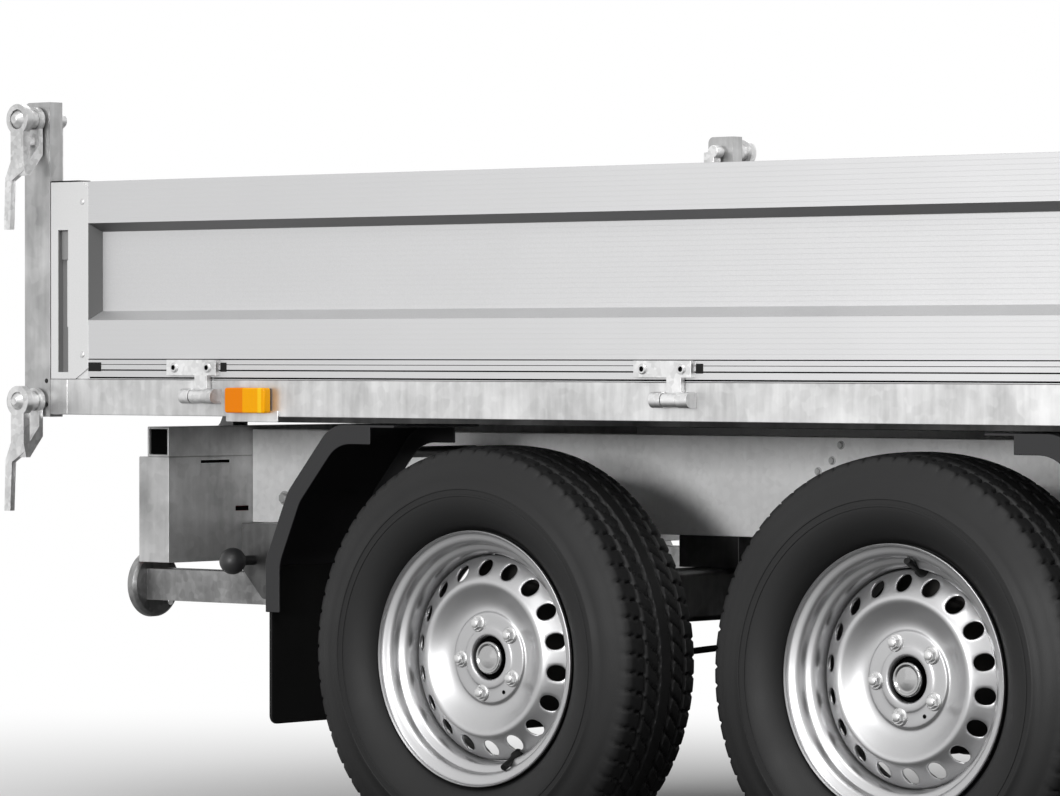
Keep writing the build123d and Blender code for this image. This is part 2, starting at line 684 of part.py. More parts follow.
def wheel_solid(x):
    """Steel rim, dished disc with its round holes, hub and brake drum, on the left side."""
    face, well = WHEEL_FACE, WELL_RADIUS
    back = face - RIM_WIDTH
    rim = strip(
        [
            (face, FLANGE_RADIUS), (face - 8, FLANGE_RADIUS - 1), (face - 12, BEAD_RADIUS),
            (face - 34, BEAD_RADIUS - 1), (face - 46, well), (back + 54, well),
            (back + 34, BEAD_RADIUS - 2), (back + 12, BEAD_RADIUS), (back + 8, FLANGE_RADIUS - 1),
            (back, FLANGE_RADIUS),
        ],
        -RIM_SHEET, 3,
    )
    disc = strip(
        [
            (face - 50, well - RIM_SHEET + 0.5), (face - 38, well - 8), (face - 36, 130),
            (face - 24, 118), (face - 24, 110), (face - 44, 92), (BOLT_LAND, BOLT_LAND_RADIUS),
            (BOLT_LAND, CAP_RADIUS + 1),
        ],
        DISC_SHEET, 4,
    )
    solid = turned(rim, x, HUB_Z) + turned(disc, x, HUB_Z)
    for index in range(HOLE_COUNT):
        angle = radians(360 * index / HOLE_COUNT)
        at = (x + HOLE_CIRCLE_RADIUS * sin(angle), HUB_Z + HOLE_CIRCLE_RADIUS * cos(angle))
        solid -= rod("y", at, HOLE_RADIUS, face - 60, face - 20)
    seat = BOLT_LAND - DISC_SHEET
    drum = polygon(
        (DRUM_BACK, DRUM_RADIUS - DRUM_WALL), (DRUM_BACK, DRUM_RADIUS),
        (DRUM_BACK + DRUM_LENGTH, DRUM_RADIUS), (seat - 8, BOLT_LAND_RADIUS + 2),
        (seat, BOLT_LAND_RADIUS - 4), (seat, CAP_RADIUS), (BOLT_LAND, CAP_RADIUS),
        (WHEEL_FACE - CAP_DEPTH - 3, CAP_RADIUS), (WHEEL_FACE - CAP_DEPTH, CAP_RADIUS - 4),
        (WHEEL_FACE - CAP_DEPTH, 0), (BOLT_LAND - 8, 0), (BOLT_LAND - 8, SPINDLE_RADIUS + RUNNING_FIT),
        (DRUM_BACK + 8, SPINDLE_RADIUS + RUNNING_FIT), (DRUM_BACK + 8, 42),
        (DRUM_BACK + DRUM_LENGTH - 10, 42), (DRUM_BACK + DRUM_LENGTH - 10, DRUM_RADIUS - DRUM_WALL),
    )
    return solid + turned(drum, x, HUB_Z)


def tyre_solid(x):
    """A closed ring with a flat tread, rounded shoulders and a bulging side."""
    mid, half, tread = WHEEL_CENTRE, TYRE_WIDTH / 2, TREAD_WIDTH / 2
    seat = BEAD_RADIUS + SLIP_GAP
    bead = RIM_WIDTH / 2 - 12 - SLIP_GAP
    lip = FLANGE_RADIUS + 1
    bulge = (TYRE_RADIUS + BEAD_RADIUS) / 2
    shoulder = TYRE_RADIUS - 5
    side = [(bead, lip), (half, bulge), (half - 8, bulge + 40), (tread, shoulder)]
    outline = [
        Spline(*[(mid - y, r) for y, r in side]),
        ThreePointArc((mid - tread, shoulder), (mid, TYRE_RADIUS), (mid + tread, shoulder)),
        Spline(*[(mid + y, r) for y, r in reversed(side)]),
        Polyline((mid + bead, lip), (mid + bead, seat + 4), (mid + bead - 4, seat),
                 (mid - bead + 4, seat), (mid - bead, seat + 4), (mid - bead, lip)),
    ]
    return turned(make_face(outline), x, HUB_Z)


def build_wheels():
    """Four wheels and their tyres."""
    for place, hub_x in (("rear", REAR_HUB_X), ("front", FRONT_HUB_X)):
        left_wheel, right_wheel = mirrored_pair(wheel_solid(hub_x))
        left_tyre, right_tyre = mirrored_pair(tyre_solid(hub_x))
        save(f"wheel_{place}_left", left_wheel)
        save(f"wheel_{place}_right", right_wheel)
        save(f"tyre_{place}_left", left_tyre)
        save(f"tyre_{place}_right", right_tyre)


def cable(points):
    """A brake cable through the points, its bends as large as their runs allow."""
    radii = []
    for before, point, after in zip(points, points[1:], points[2:]):
        first = Vector(*point) - Vector(*before)
        second = Vector(*after) - Vector(*point)
        turn = radians(first.get_angle(second))
        radii.append(0.45 * min(first.length, second.length) / (sin(turn / 2) / cos(turn / 2)))
    path = FilletPolyline(*points, radius=radii)
    start = Vector(*points[1]) - Vector(*points[0])
    return sweep(Plane(origin=points[0], z_dir=start) * Circle(5), path=path)


def build_brakes():
    """Brake rod, equaliser and the four cables to the backplates."""
    rod_z = HOUSING_Z - 12
    linkage = rod("x", (0, rod_z), 6, 712, HOUSING_BACK)
    linkage += block((700, 712), (-70, 70), (rod_z - 14, rod_z + 14))
    save("brake_linkage", linkage)
    end = BACKPLATE_IN
    rear = [
        (700, 30, rod_z), (660, 30, rod_z), (600, 80, 372), (480, 180, 340), (300, 340, 332),
        (60, 500, 342), (-120, 600, 344), (-250, 640, 324), (-322, 668, 300), (-322, end, 300),
    ]
    front = [
        (700, 58, rod_z), (668, 58, rod_z), (640, 130, 386), (622, 270, 346), (596, 420, 326),
        (548, 560, 306), (474, 666, 292), (474, end, 292),
    ]
    save("brake_cables", mirrored_pair(cable(rear)), mirrored_pair(cable(front)))


def build_mudguards():
    """Quarter mudguards behind the rear wheels and ahead of the front ones, with stays and flaps."""
    rear_line = [(-x, z) for x, z in GUARD_OUTLINE]
    shell = slab("y", strip(rear_line, GUARD_SHEET, GUARD_ROUND), GUARD_INNER, WHEEL_FACE)
    lip_line = rear_line[:-1] + [(-610, rear_line[-1][1])]
    for low in (GUARD_INNER, WHEEL_FACE - BOARD_SHEET):
        shell += slab("y", strip(lip_line, GUARD_LIP, GUARD_ROUND), low, low + BOARD_SHEET)
    guards = mirrored_pair(shell)
    guards += [mirror(guard, about=Plane.YZ) for guard in guards]
    save("mudguards", guards)

    inner_x = rear_line[0][0] + GUARD_SHEET + SLIP_GAP
    flap = slab(
        "x", rounded(14, (GUARD_INNER + 20, FLAP_BOTTOM), (WHEEL_FACE - BOARD_SHEET - 1, FLAP_BOTTOM),
                     (WHEEL_FACE - BOARD_SHEET - 1, FLAP_TOP), (GUARD_INNER + 20, FLAP_TOP)),
        inner_x, inner_x + FLAP_SHEET,
    )
    save("mud_flaps", mirrored_pair(flap))


def guard_stays():
    """Round bars from the side member that carry the left rear mudguard on its outer face."""
    line = [(-x, z) for x, z in GUARD_OUTLINE]
    stays = []
    for first, second in ((line[1], line[2]), (line[2], line[3])):
        middle = ((first[0] + second[0]) / 2, (first[1] + second[1]) / 2)
        run = hypot(second[0] - first[0], second[1] - first[1])
        away = STAY_RADIUS + SLIP_GAP
        at = (
            middle[0] - away * (second[1] - first[1]) / run,
            middle[1] + away * (second[0] - first[0]) / run,
        )
        stays.append(rod("y", at, STAY_RADIUS, MEMBER_WEB, WHEEL_FACE - 30))
    return stays


def build_brackets():
    """Mudguard stays and the brackets that carry the support legs, with their lock knobs."""
    stays = []
    for stay in guard_stays():
        left = mirrored_pair(stay)
        stays += left + [mirror(part, about=Plane.YZ) for part in left]
    half = LEG_TUBE / 2 + 2
    x = (KNOB_X - BRACKET_TAIL, LEG_PIVOT_X + BRACKET_NOSE)
    plate = block(x, (MEMBER_WEB, LEG_Y + half + CHEEK_THICKNESS), (MEMBER_BOTTOM, MEMBER_BOTTOM + 6))
    cheek = rounded(
        10, (x[0], KNOB_Z - 14), (LEG_PIVOT_X - 14, LEG_Z - 16), (LEG_PIVOT_X + 16, LEG_Z - 16),
        (x[1], MEMBER_BOTTOM + 3), (x[0], MEMBER_BOTTOM + 3),
    )
    bracket = plate
    for low in (LEG_Y - half - CHEEK_THICKNESS, LEG_Y + half):
        bracket += slab("y", cheek, low, low + CHEEK_THICKNESS)
    bracket += rod(
        "y", (LEG_PIVOT_X, LEG_Z), LEG_PIVOT_RADIUS,
        LEG_Y - half - CHEEK_THICKNESS - 6, LEG_Y + half + CHEEK_THICKNESS + 6,
    )
    save("outrigger_brackets", stays, mirrored_pair(bracket))
    out = LEG_Y + half + CHEEK_THICKNESS
    knob = rod("y", (KNOB_X, KNOB_Z), KNOB_STEM_RADIUS, out, out + KNOB_STEM_LENGTH)
    knob += Pos(KNOB_X, out + KNOB_REACH, KNOB_Z) * Sphere(KNOB_RADIUS)
    save("leg_lock_knobs", mirrored_pair(knob))


def build_legs():
    """Swing-down support legs with a round dished foot."""
    tube = slab(
        "x", Pos(LEG_Y, LEG_Z) * square_tube(LEG_TUBE, LEG_TUBE, LEG_WALL),
        LEG_END + DISH_DEPTH, LEG_PIVOT_X + LEG_TAIL,
    )
    tube -= rod("y", (LEG_PIVOT_X, LEG_Z), LEG_PIVOT_RADIUS + RUNNING_FIT, LEG_Y - 40, LEG_Y + 40)
    front = LEG_END + DISH_DEPTH
    line = [(LEG_END, DISH_RADIUS), (front - 5, DISH_RADIUS - 1), (front, DISH_RADIUS - 6), (front, 0)]
    plane = Plane(origin=(0, LEG_Y, LEG_Z), x_dir=(1, 0, 0), z_dir=(0, -1, 0))
    dish = revolve(plane * strip(line, DISH_SHEET), Axis((0, LEG_Y, LEG_Z), (1, 0, 0)), 360)
    hole_at = (LEG_Y + DISH_HOLE_AT[0], LEG_Z + DISH_HOLE_AT[1])
    dish -= rod("x", hole_at, DISH_HOLE_RADIUS, LEG_END - CUT_OVER, front + CUT_OVER)
    left, right = mirrored_pair(tube + dish)
    save("support_leg_left", left)
    save("support_leg_right", right)


def build_cylinder():
    """Telescopic cylinder: cradle, trunnion barrel and its stages."""
    tube_x = (CYLINDER_X - CRADLE_TUBE_LEAD, CYLINDER_X + CRADLE_TUBE_LEAD)
    span = MEMBER_WEB - MEMBER_WALL
    half = CRADLE_TUBE_WIDTH / 2
    tube = square_tube(CRADLE_TUBE_WIDTH, CRADLE_TUBE_HEIGHT, MEMBER_WALL)
    cradle = [slab("y", Pos(x, TRUNNION_Z) * tube, -span, span) for x in tube_x]
    plate = block(
        (tube_x[0] + half, tube_x[1] - half), (CRADLE_HALF - CRADLE_PLATE, CRADLE_HALF),
        (TRUNNION_Z - CRADLE_TUBE_HEIGHT / 2, TRUNNION_Z + CRADLE_TUBE_HEIGHT / 2),
    )
    plate -= rod("y", (CYLINDER_X, TRUNNION_Z), TRUNNION_RADIUS + RUNNING_FIT,
                 CRADLE_HALF - CRADLE_PLATE - CUT_OVER, CRADLE_HALF + CUT_OVER)
    save("cylinder_cradle", cradle, mirrored_pair(plate))

    at = (CYLINDER_X, 0)
    barrel = rod("z", at, BARREL_RADIUS, BARREL_BOTTOM, BARREL_TOP)
    barrel += rod("y", (CYLINDER_X, TRUNNION_Z), TRUNNION_RADIUS, -CRADLE_HALF, CRADLE_HALF)
    barrel -= rod("z", at, BARREL_RADIUS - STAGE_WALL, BARREL_BOTTOM + STAGE_BASE, BARREL_TOP + 1)
    save("cylinder_barrel", barrel)
    for number, outer, low, high in STAGE_TABLE:
        if number < STAGE_COUNT:
            stage = rod("z", at, outer, low, high)
            stage -= rod("z", at, outer - STAGE_WALL, low + STAGE_RISE - SLIP_GAP, high + 1)
        else:
            stage = rod("z", at, outer, low, ROD_EYE_Z)
            stage += rod("y", (CYLINDER_X, ROD_EYE_Z), ROD_EYE_RADIUS, -ROD_EYE_HALF, ROD_EYE_HALF)
        save(f"cylinder_stage_{number}", stage)


def build_bed():
    """Floor, rails, beams, posts, headboard and what the bed carries."""
    rail = slab(
        "x", channel(BED_HALF, BED_HALF - RAIL_FLANGE, RAIL_BOTTOM, RAIL_TOP, RAIL_WALL),
        BED_BACK + END_RAIL_DEPTH, BED_FRONT - END_RAIL_DEPTH,
    )
    save("bed_side_rails", mirrored_pair(rail))
    span = (-BED_HALF, BED_HALF)
    rear = slab(
        "y", channel(BED_BACK, BED_BACK + END_RAIL_DEPTH, RAIL_BOTTOM, RAIL_TOP, RAIL_WALL), *span
    )
    front = slab(
        "y", channel(BED_FRONT, BED_FRONT - END_RAIL_DEPTH, RAIL_BOTTOM, RAIL_TOP, RAIL_WALL), *span
    )
    for back in (BED_BACK, BED_FRONT - END_RAIL_DEPTH):
        plates = mirrored_pair(block(
            (back, back + END_RAIL_DEPTH), (BED_HALF - RAIL_WALL, BED_HALF), (RAIL_BOTTOM, RAIL_TOP)
        ))
        for plate in plates:
            if back == BED_BACK:
                rear += plate
            else:
                front += plate
    save("bed_end_rails", rear, front)
    gap = TIP_EAR_WIDTH / 2 + 1
    lugs = []
    for low in (MEMBER_MID - gap - TIP_LUG_WIDTH, MEMBER_MID + gap):
        lug = slab(
            "y", Pos(TIP_X, TIP_Z) * Circle(TIP_LUG_RADIUS)
            + polygon((TIP_X - TIP_LUG_RADIUS, TIP_Z), (TIP_X + TIP_LUG_RADIUS, TIP_Z),
                      (TIP_X + TIP_LUG_RADIUS, RAIL_BOTTOM), (TIP_X - 2, RAIL_BOTTOM)),
            low, low + TIP_LUG_WIDTH,
        )
        lug -= rod("y", (TIP_X, TIP_Z), TIP_PIN_RADIUS + RUNNING_FIT, low - 1, low + 20)
        lugs += mirrored_pair(lug)

    floor = block(
        (BED_BACK, FRONT_POST_BACK), (-BOARD_INNER + 3, BOARD_INNER - 3), (RAIL_TOP, FLOOR_TOP)
    )
    floor += block(
        (FRONT_POST_BACK, HEADBOARD_X[0]), (-HEADBOARD_HALF + 1, HEADBOARD_HALF - 1),
        (RAIL_TOP, FLOOR_TOP),
    )
    save("bed_floor", floor)

    span = (-BED_HALF + RAIL_FLANGE, BED_HALF - RAIL_FLANGE)
    beams = [
        slab("y", channel(x, x + BED_BEAM_FLANGE, BED_BEAM_BOTTOM, RAIL_TOP, RAIL_WALL), *span)
        for x in BED_BEAM_X
    ]
    lift = [x for x in BED_BEAM_X if abs(x - CYLINDER_X) < 200]
    gap = ROD_EYE_HALF + 2
    ear = slab(
        "y", polygon((lift[0] + RAIL_WALL, BED_BEAM_BOTTOM), (lift[1], BED_BEAM_BOTTOM),
                     (lift[1], RAIL_TOP), (lift[0] + RAIL_WALL, RAIL_TOP))
        + Pos(CYLINDER_X, ROD_EYE_Z) * Circle(LIFT_EAR_RADIUS),
        gap, gap + LIFT_EAR_THICKNESS,
    )
    ear -= block(
        (lift[0], lift[0] + BED_BEAM_FLANGE), (0, 100), (RAIL_TOP - RAIL_WALL, RAIL_TOP)
    )
    ear -= block(
        (lift[0], lift[0] + BED_BEAM_FLANGE), (0, 100), (BED_BEAM_BOTTOM, BED_BEAM_BOTTOM + RAIL_WALL)
    )
    save("bed_cross_beams", beams)
    save("bed_lugs", lugs, mirrored_pair(ear))
    sub = slab(
        "x", Pos(MEMBER_MID, (SUB_BEAM_BOTTOM + BED_BEAM_BOTTOM) / 2)
        * square_tube(MEMBER_FLANGE, BED_BEAM_BOTTOM - SUB_BEAM_BOTTOM, SUB_BEAM_WALL),
        BED_BACK + END_RAIL_DEPTH, BED_FRONT - END_RAIL_DEPTH,
    )
    save("bed_sub_beams", mirrored_pair(sub))

    post = slab(
        "y", make_face(
            [
                Polyline((POST_BACK, POST_TOP - POST_CORNER), (POST_BACK, POST_BOTTOM),
                         (BED_BACK, POST_BOTTOM), (BED_BACK, POST_TOP),
                         (POST_BACK + POST_CORNER, POST_TOP)),
                RadiusArc((POST_BACK + POST_CORNER, POST_TOP), (POST_BACK, POST_TOP - POST_CORNER),
                          -POST_CORNER),
            ]
        ),
        BED_HALF - POST_DEPTH, BED_HALF,
    )
    post -= rod("y", (LOCK_X, UPPER_LOCK_Z), LOCK_PIN_RADIUS + RUNNING_FIT, *POST_CUT)
    slot = LOCK_PIN_RADIUS + 3
    post -= rod("y", (LOCK_X, LOWER_LOCK_Z), slot, *POST_CUT)
    post -= block((POST_BACK - CUT_OVER, LOCK_X), POST_CUT, (LOWER_LOCK_Z - slot, LOWER_LOCK_Z + slot))
    for rise in POST_HOLE_RISE:
        post -= rod("y", (BED_BACK - POST_HOLE_INSET, RAIL_BOTTOM + rise), POST_HOLE_RADIUS, *POST_CUT)
    save("rear_posts", mirrored_pair(post))
    front_post = block(
        (FRONT_POST_BACK, BED_FRONT), (HEADBOARD_HALF, BED_HALF), (RAIL_TOP, FRONT_POST_TOP)
    )
    save("front_posts", mirrored_pair(front_post))
    save("headboard", slab(
        "y", panel_face(HEADBOARD_X[1], HEADBOARD_X[0], RAIL_TOP, FRONT_POST_TOP - HEADBOARD_DROP),
        -HEADBOARD_HALF, HEADBOARD_HALF,
    ))

    barrels = []
    width = KNUCKLE_LENGTH / 2 - TONGUE_HALF - 1
    for ends in KNUCKLE_X:
        knuckle = rod("x", (HINGE_Y, HINGE_Z), KNUCKLE_PIN_RADIUS, *ends)
        for low in (ends[0], ends[1] - width):
            side = rod("x", (HINGE_Y, HINGE_Z), KNUCKLE_RADIUS, low, low + width)
            side += block((low, low + width), (BED_HALF, HINGE_Y),
                          (HINGE_Z - KNUCKLE_RADIUS, HINGE_Z + KNUCKLE_RADIUS))
            knuckle += side
        barrels += mirrored_pair(knuckle)
    save("rail_hinge_barrels", barrels)

    lamps = []
    for x in LAMP_X:
        lamp = block(
            (x - LAMP_PLATE_REACH[0], x + LAMP_PLATE_REACH[1]),
            (BED_HALF, BED_HALF + LAMP_PLATE_THICKNESS), (RAIL_BOTTOM - LAMP_PLATE_DROP, LAMP_BOTTOM + 4),
        )
        lamp += slab(
            "y", rounded(10, (x - LAMP_LENGTH / 2, LAMP_BOTTOM), (x + LAMP_LENGTH / 2, LAMP_BOTTOM),
                         (x + LAMP_LENGTH / 2, LAMP_BOTTOM + LAMP_HEIGHT),
                         (x - LAMP_LENGTH / 2, LAMP_BOTTOM + LAMP_HEIGHT)),
            BED_HALF, BED_HALF + LAMP_PLATE_THICKNESS + LAMP_DEPTH,
        )
        lamps += mirrored_pair(lamp)
    save("side_marker_lamps", lamps)

    lever = lock_lever(UPPER_LOCK_Z)
    stop = UPPER_LOCK_Z - LEVER_EYE_RADIUS - 4
    lever += block((LOCK_X - 6, LOCK_X + 6), (BED_HALF, LEVER_Y[0]), (stop - 12, stop))
    save("upper_lock_levers", mirrored_pair(lever))


def lock_lever(z):
    """Forged lock lever: two eyes on the boss, a yoke that joins them and a swept handle."""
    x, outer = LOCK_X, LEVER_Y[1]
    inner = BED_HALF + 4
    eyes = [pipe("y", (x, z), LEVER_EYE_RADIUS, LOCK_BOSS_RADIUS + SLIP_GAP, *LEVER_Y)]
    eyes.append(pipe("y", (x, z), LEVER_EYE_RADIUS - 4, LOCK_BOSS_RADIUS + SLIP_GAP, inner, inner + 9))
    low = z - YOKE_DEPTH
    yoke = slab(
        "x", polygon(
            (outer, z), (outer, low + 24), (outer - 6, low), (outer - 15, low), (inner, low + 34),
            (inner, z), (inner + 9, z), (inner + 9, low + 50), (LEVER_Y[0], low + 26), (LEVER_Y[0], z),
        ),
        x - YOKE_HALF, x + YOKE_HALF,
    )
    yoke -= rod("y", (x, z), LOCK_BOSS_RADIUS + SLIP_GAP, inner - CUT_OVER, outer + CUT_OVER)
    heel = x - HANDLE_SWEEP
    end = z - LEVER_LENGTH
    handle = slab(
        "y", polygon(
            (x - YOKE_HALF, low + 30), (heel + 3, low - 4), (heel, end), (heel + HANDLE_WIDTH - 2, end),
            (heel + HANDLE_WIDTH + 2, low - 8), (x + YOKE_HALF, low + 10), (x + YOKE_HALF, low + 30),
        ),
        outer - 13, outer - 3,
    )
    return eyes[0] + eyes[1] + yoke + handle


def lock_pin(z, inner):
    """Pin through the rear post with a thicker boss and a coned end."""
    pin = rod("y", (LOCK_X, z), LOCK_PIN_RADIUS, inner, BED_HALF + 3)
    boss = polygon(
        (BED_HALF + 2, 0), (BED_HALF + 2, LOCK_BOSS_RADIUS),
        (BED_HALF + LOCK_REACH - 12, LOCK_BOSS_RADIUS), (BED_HALF + LOCK_REACH, 6),
        (BED_HALF + LOCK_REACH, 0),
    )
    return pin + turned(boss, LOCK_X, z)


def build_side_boards():
    """Drop sides: ribbed board, latch blocks at its ends and hinge leaves."""
    back, front = BOARD_BACK + END_BLOCK_LENGTH, BOARD_FRONT - END_BLOCK_LENGTH
    board = slab("x", panel_face(BED_HALF, BOARD_INNER, BOARD_BOTTOM, BOARD_TOP), back, front)
    left, right = mirrored_pair(board)
    save("side_board_left", left)
    save("side_board_right", right)

    fittings = []
    for outside, inside, way in ((BOARD_BACK, back, 1), (BOARD_FRONT, front, -1)):
        end = block((outside, inside), (BOARD_INNER, BED_HALF - END_PLATE), (BOARD_BOTTOM, BOARD_TOP))
        top, across, up = END_PLATE_CHAMFERS
        end += slab(
            "y", polygon(
                (outside, BOARD_BOTTOM), (inside - way * across, BOARD_BOTTOM), (inside, BOARD_BOTTOM + up),
                (inside, BOARD_TOP - top), (inside - way * top, BOARD_TOP), (outside, BOARD_TOP),
            ),
            BED_HALF - END_PLATE, BED_HALF,
        )
        slot = outside + way * END_SLOT_INSET
        end -= block(
            (slot, slot + way * END_SLOT_WIDTH), (BED_HALF - END_SLOT_DEPTH, BED_HALF + CUT_OVER),
            (BOARD_BOTTOM + END_SLOT_RISE[0], BOARD_BOTTOM + END_SLOT_RISE[1]),
        )
        deep = BED_HALF - RECESS_DEPTH
        reveal = slab(
            "z", polygon((inside, BED_HALF), (inside + way * END_REVEAL, deep), (inside, deep)),
            BOARD_BOTTOM + PANEL_BENDS[0], BOARD_BOTTOM + PANEL_BENDS[3],
        )
        fittings.append(end + (reveal - board))
    half = HINGE_PLATE_WIDTH / 2
    plate_low = RAIL_TOP + HINGE_PLATE_RISE
    for x in BOARD_HINGE_X:
        middle = x + KNUCKLE_SHIFT
        tongue = (middle - TONGUE_HALF, middle + TONGUE_HALF)
        leaf = block((x - half, x + half), (BED_HALF, BED_HALF + HINGE_PLATE_THICKNESS),
                     (plate_low, plate_low + HINGE_PLATE_HEIGHT))
        leaf += block(tongue, (BED_HALF + 1, BED_HALF + HINGE_PLATE_THICKNESS + 1), (HINGE_Z, plate_low + 1))
        leaf += rod("x", (HINGE_Y, HINGE_Z), KNUCKLE_RADIUS - 1, *tongue)
        leaf -= rod("x", (HINGE_Y, HINGE_Z), KNUCKLE_PIN_RADIUS + RUNNING_FIT,
                    tongue[0] - CUT_OVER, tongue[1] + CUT_OVER)
        fittings.append(leaf)
    pairs = [mirrored_pair(part) for part in fittings]
    save("side_board_fittings_left", [pair[0] for pair in pairs])
    save("side_board_fittings_right", [pair[1] for pair in pairs])


def build_tailgate():
    """Top-hung tailgate with its arms, pins and lower locks."""
    panel = slab(
        "y", panel_face(TAILGATE_OUTER, TAILGATE_INNER, RAIL_BOTTOM, BOARD_TOP),
        -TAILGATE_HALF, TAILGATE_HALF,
    )
    save("tailgate_panel", panel)
    arm = block((TAILGATE_OUTER, TAILGATE_OUTER + GATE_ARM_DEPTH), GATE_ARM_Y, (BOARD_TOP, UPPER_LOCK_Z))
    arm += rod("y", (LOCK_X, UPPER_LOCK_Z), GATE_EYE_RADIUS, *GATE_ARM_Y)
    arm += lock_pin(UPPER_LOCK_Z, GATE_ARM_Y[1] - 1)
    save("tailgate_arms", mirrored_pair(arm))
    lower = lock_pin(LOWER_LOCK_Z, TAILGATE_HALF)
    lower += lock_lever(LOWER_LOCK_Z)
    lower += pipe("y", (LOCK_X, LOWER_LOCK_Z), LOCK_BOSS_RADIUS + 2, LOCK_BOSS_RADIUS - 1, *LEVER_Y)
    save("lower_lock_levers", mirrored_pair(lower))


def main():
    """Build every node."""
    os.makedirs("parts", exist_ok=True)
    build_frame()
    build_drawbar()
    build_power_pack()
    build_jockey()
    build_axles()
    build_wheels()
    build_brakes()
    build_mudguards()
    build_brackets()
    build_legs()
    build_cylinder()
    build_bed()
    build_side_boards()
    build_tailgate()


if __name__ == "__main__":
    main()
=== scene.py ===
import json
import logging
from dataclasses import dataclass
from enum import Enum
from typing import ClassVar

import bmesh
import bpy
import numpy as np
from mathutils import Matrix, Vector


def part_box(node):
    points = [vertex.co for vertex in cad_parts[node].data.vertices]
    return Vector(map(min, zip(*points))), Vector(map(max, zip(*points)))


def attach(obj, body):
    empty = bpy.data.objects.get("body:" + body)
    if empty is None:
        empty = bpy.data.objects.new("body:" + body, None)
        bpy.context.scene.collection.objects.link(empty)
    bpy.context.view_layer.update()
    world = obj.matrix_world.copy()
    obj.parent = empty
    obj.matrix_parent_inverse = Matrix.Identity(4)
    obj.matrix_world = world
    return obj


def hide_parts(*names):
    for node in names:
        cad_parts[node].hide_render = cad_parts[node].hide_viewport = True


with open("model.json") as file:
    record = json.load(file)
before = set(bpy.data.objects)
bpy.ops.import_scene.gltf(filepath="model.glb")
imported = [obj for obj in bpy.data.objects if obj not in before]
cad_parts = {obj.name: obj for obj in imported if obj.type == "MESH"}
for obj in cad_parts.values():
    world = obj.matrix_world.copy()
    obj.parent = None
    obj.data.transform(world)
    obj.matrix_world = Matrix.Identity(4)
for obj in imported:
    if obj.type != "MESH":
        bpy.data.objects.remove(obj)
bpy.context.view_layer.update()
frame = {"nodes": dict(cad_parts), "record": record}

LOG = logging.getLogger("trailer")
PAST_ENDS = 9.0  # a place along X beyond either end of the trailer
BODY_OF = {
    node: body
    for body, nodes in frame["record"]["behaviour"]["bodies"].items()
    for node in nodes
}
AXLES_MIDDLE_X = float((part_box("tyre_rear_left")[0].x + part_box("tyre_front_left")[1].x) / 2)


class Side(Enum):
    """Side of the trailer, with the sign of Y there."""

    LEFT = 1
    RIGHT = -1

    @property
    def word(self) -> str:
        """The side's name as it stands in the names of nodes."""
        return self.name.lower()

    @property
    def mirror(self) -> np.ndarray:
        """The matrix that takes a shape from the left side to this one."""
        return np.diag([1.0, float(self.value), 1.0])


class Axis(Enum):
    """A main direction, with its index in a point."""

    X = 0
    Y = 1
    Z = 2


@dataclass
class Shape:
    """Points and faces of a surface that is being put together.

    Args:
        points: N rows of x, y, z in metres.
        faces: Corner numbers of each face.
    """

    points: np.ndarray
    faces: list

    def moved(self, offset: tuple[float, float, float]) -> "Shape":
        """The same shape at another place."""
        return Shape(self.points + np.asarray(offset, float), self.faces)

    def turned(self, matrix: np.ndarray) -> "Shape":
        """The same shape turned by a 3 by 3 matrix, inside out if that mirrors it."""
        faces = self.faces
        if np.linalg.det(matrix) < 0:
            faces = [tuple(reversed(face)) for face in faces]
        return Shape(self.points @ np.asarray(matrix, float).T, faces)

    @staticmethod
    def joined(shapes: list["Shape"]) -> "Shape":
        """One shape that holds several.

        Args:
            shapes: The shapes to hold.

        Returns:
            The joined shape.
        """
        starts = np.cumsum([0] + [len(shape.points) for shape in shapes])
        faces = [
            tuple(int(start) + corner for corner in face)
            for start, shape in zip(starts, shapes)
            for face in shape.faces
        ]
        return Shape(np.concatenate([shape.points for shape in shapes]), faces)


def grid_surface(points: np.ndarray, close_u: bool = False, close_v: bool = False) -> Shape:
    """Faces over a grid of points: corner (i, j) joins (i+1, j), (i+1, j+1) and (i, j+1).

    Args:
        points: Array of shape (rows, columns, 3).
        close_u: Whether the last row joins the first.
        close_v: Whether the last column joins the first.

    Returns:
        The surface.
    """
    rows, columns = points.shape[:2]
    i = np.arange(rows if close_u else rows - 1)[:, None]
    j = np.arange(columns if close_v else columns - 1)[None, :]
    i2, j2 = (i + 1) % rows, (j + 1) % columns
    quads = np.stack(
        [i * columns + j, i2 * columns + j, i2 * columns + j2, i * columns + j2], axis=-1
    ).reshape(-1, 4)
    return Shape(points.reshape(-1, 3), [tuple(quad) for quad in quads.tolist()])


def spun(profile: np.ndarray, segments: int, close: bool = False) -> Shape:
    """A profile of (y, radius) turned about the Y axis: x = r sin t, z = r cos t.

    Args:
        profile: Rows of y and radius.
        segments: Steps of a full turn.
        close: Whether the profile's end joins its start.

    Returns:
        The turned surface about the origin.
    """
    turn = np.linspace(0, 2 * np.pi, segments, endpoint=False)[:, None]
    y, radius = profile[:, 0][None, :], profile[:, 1][None, :]
    points = np.stack(
        [radius * np.sin(turn), np.broadcast_to(y, (segments, len(profile))), radius * np.cos(turn)],
        axis=-1,
    )
    return grid_surface(points, close_u=True, close_v=close)


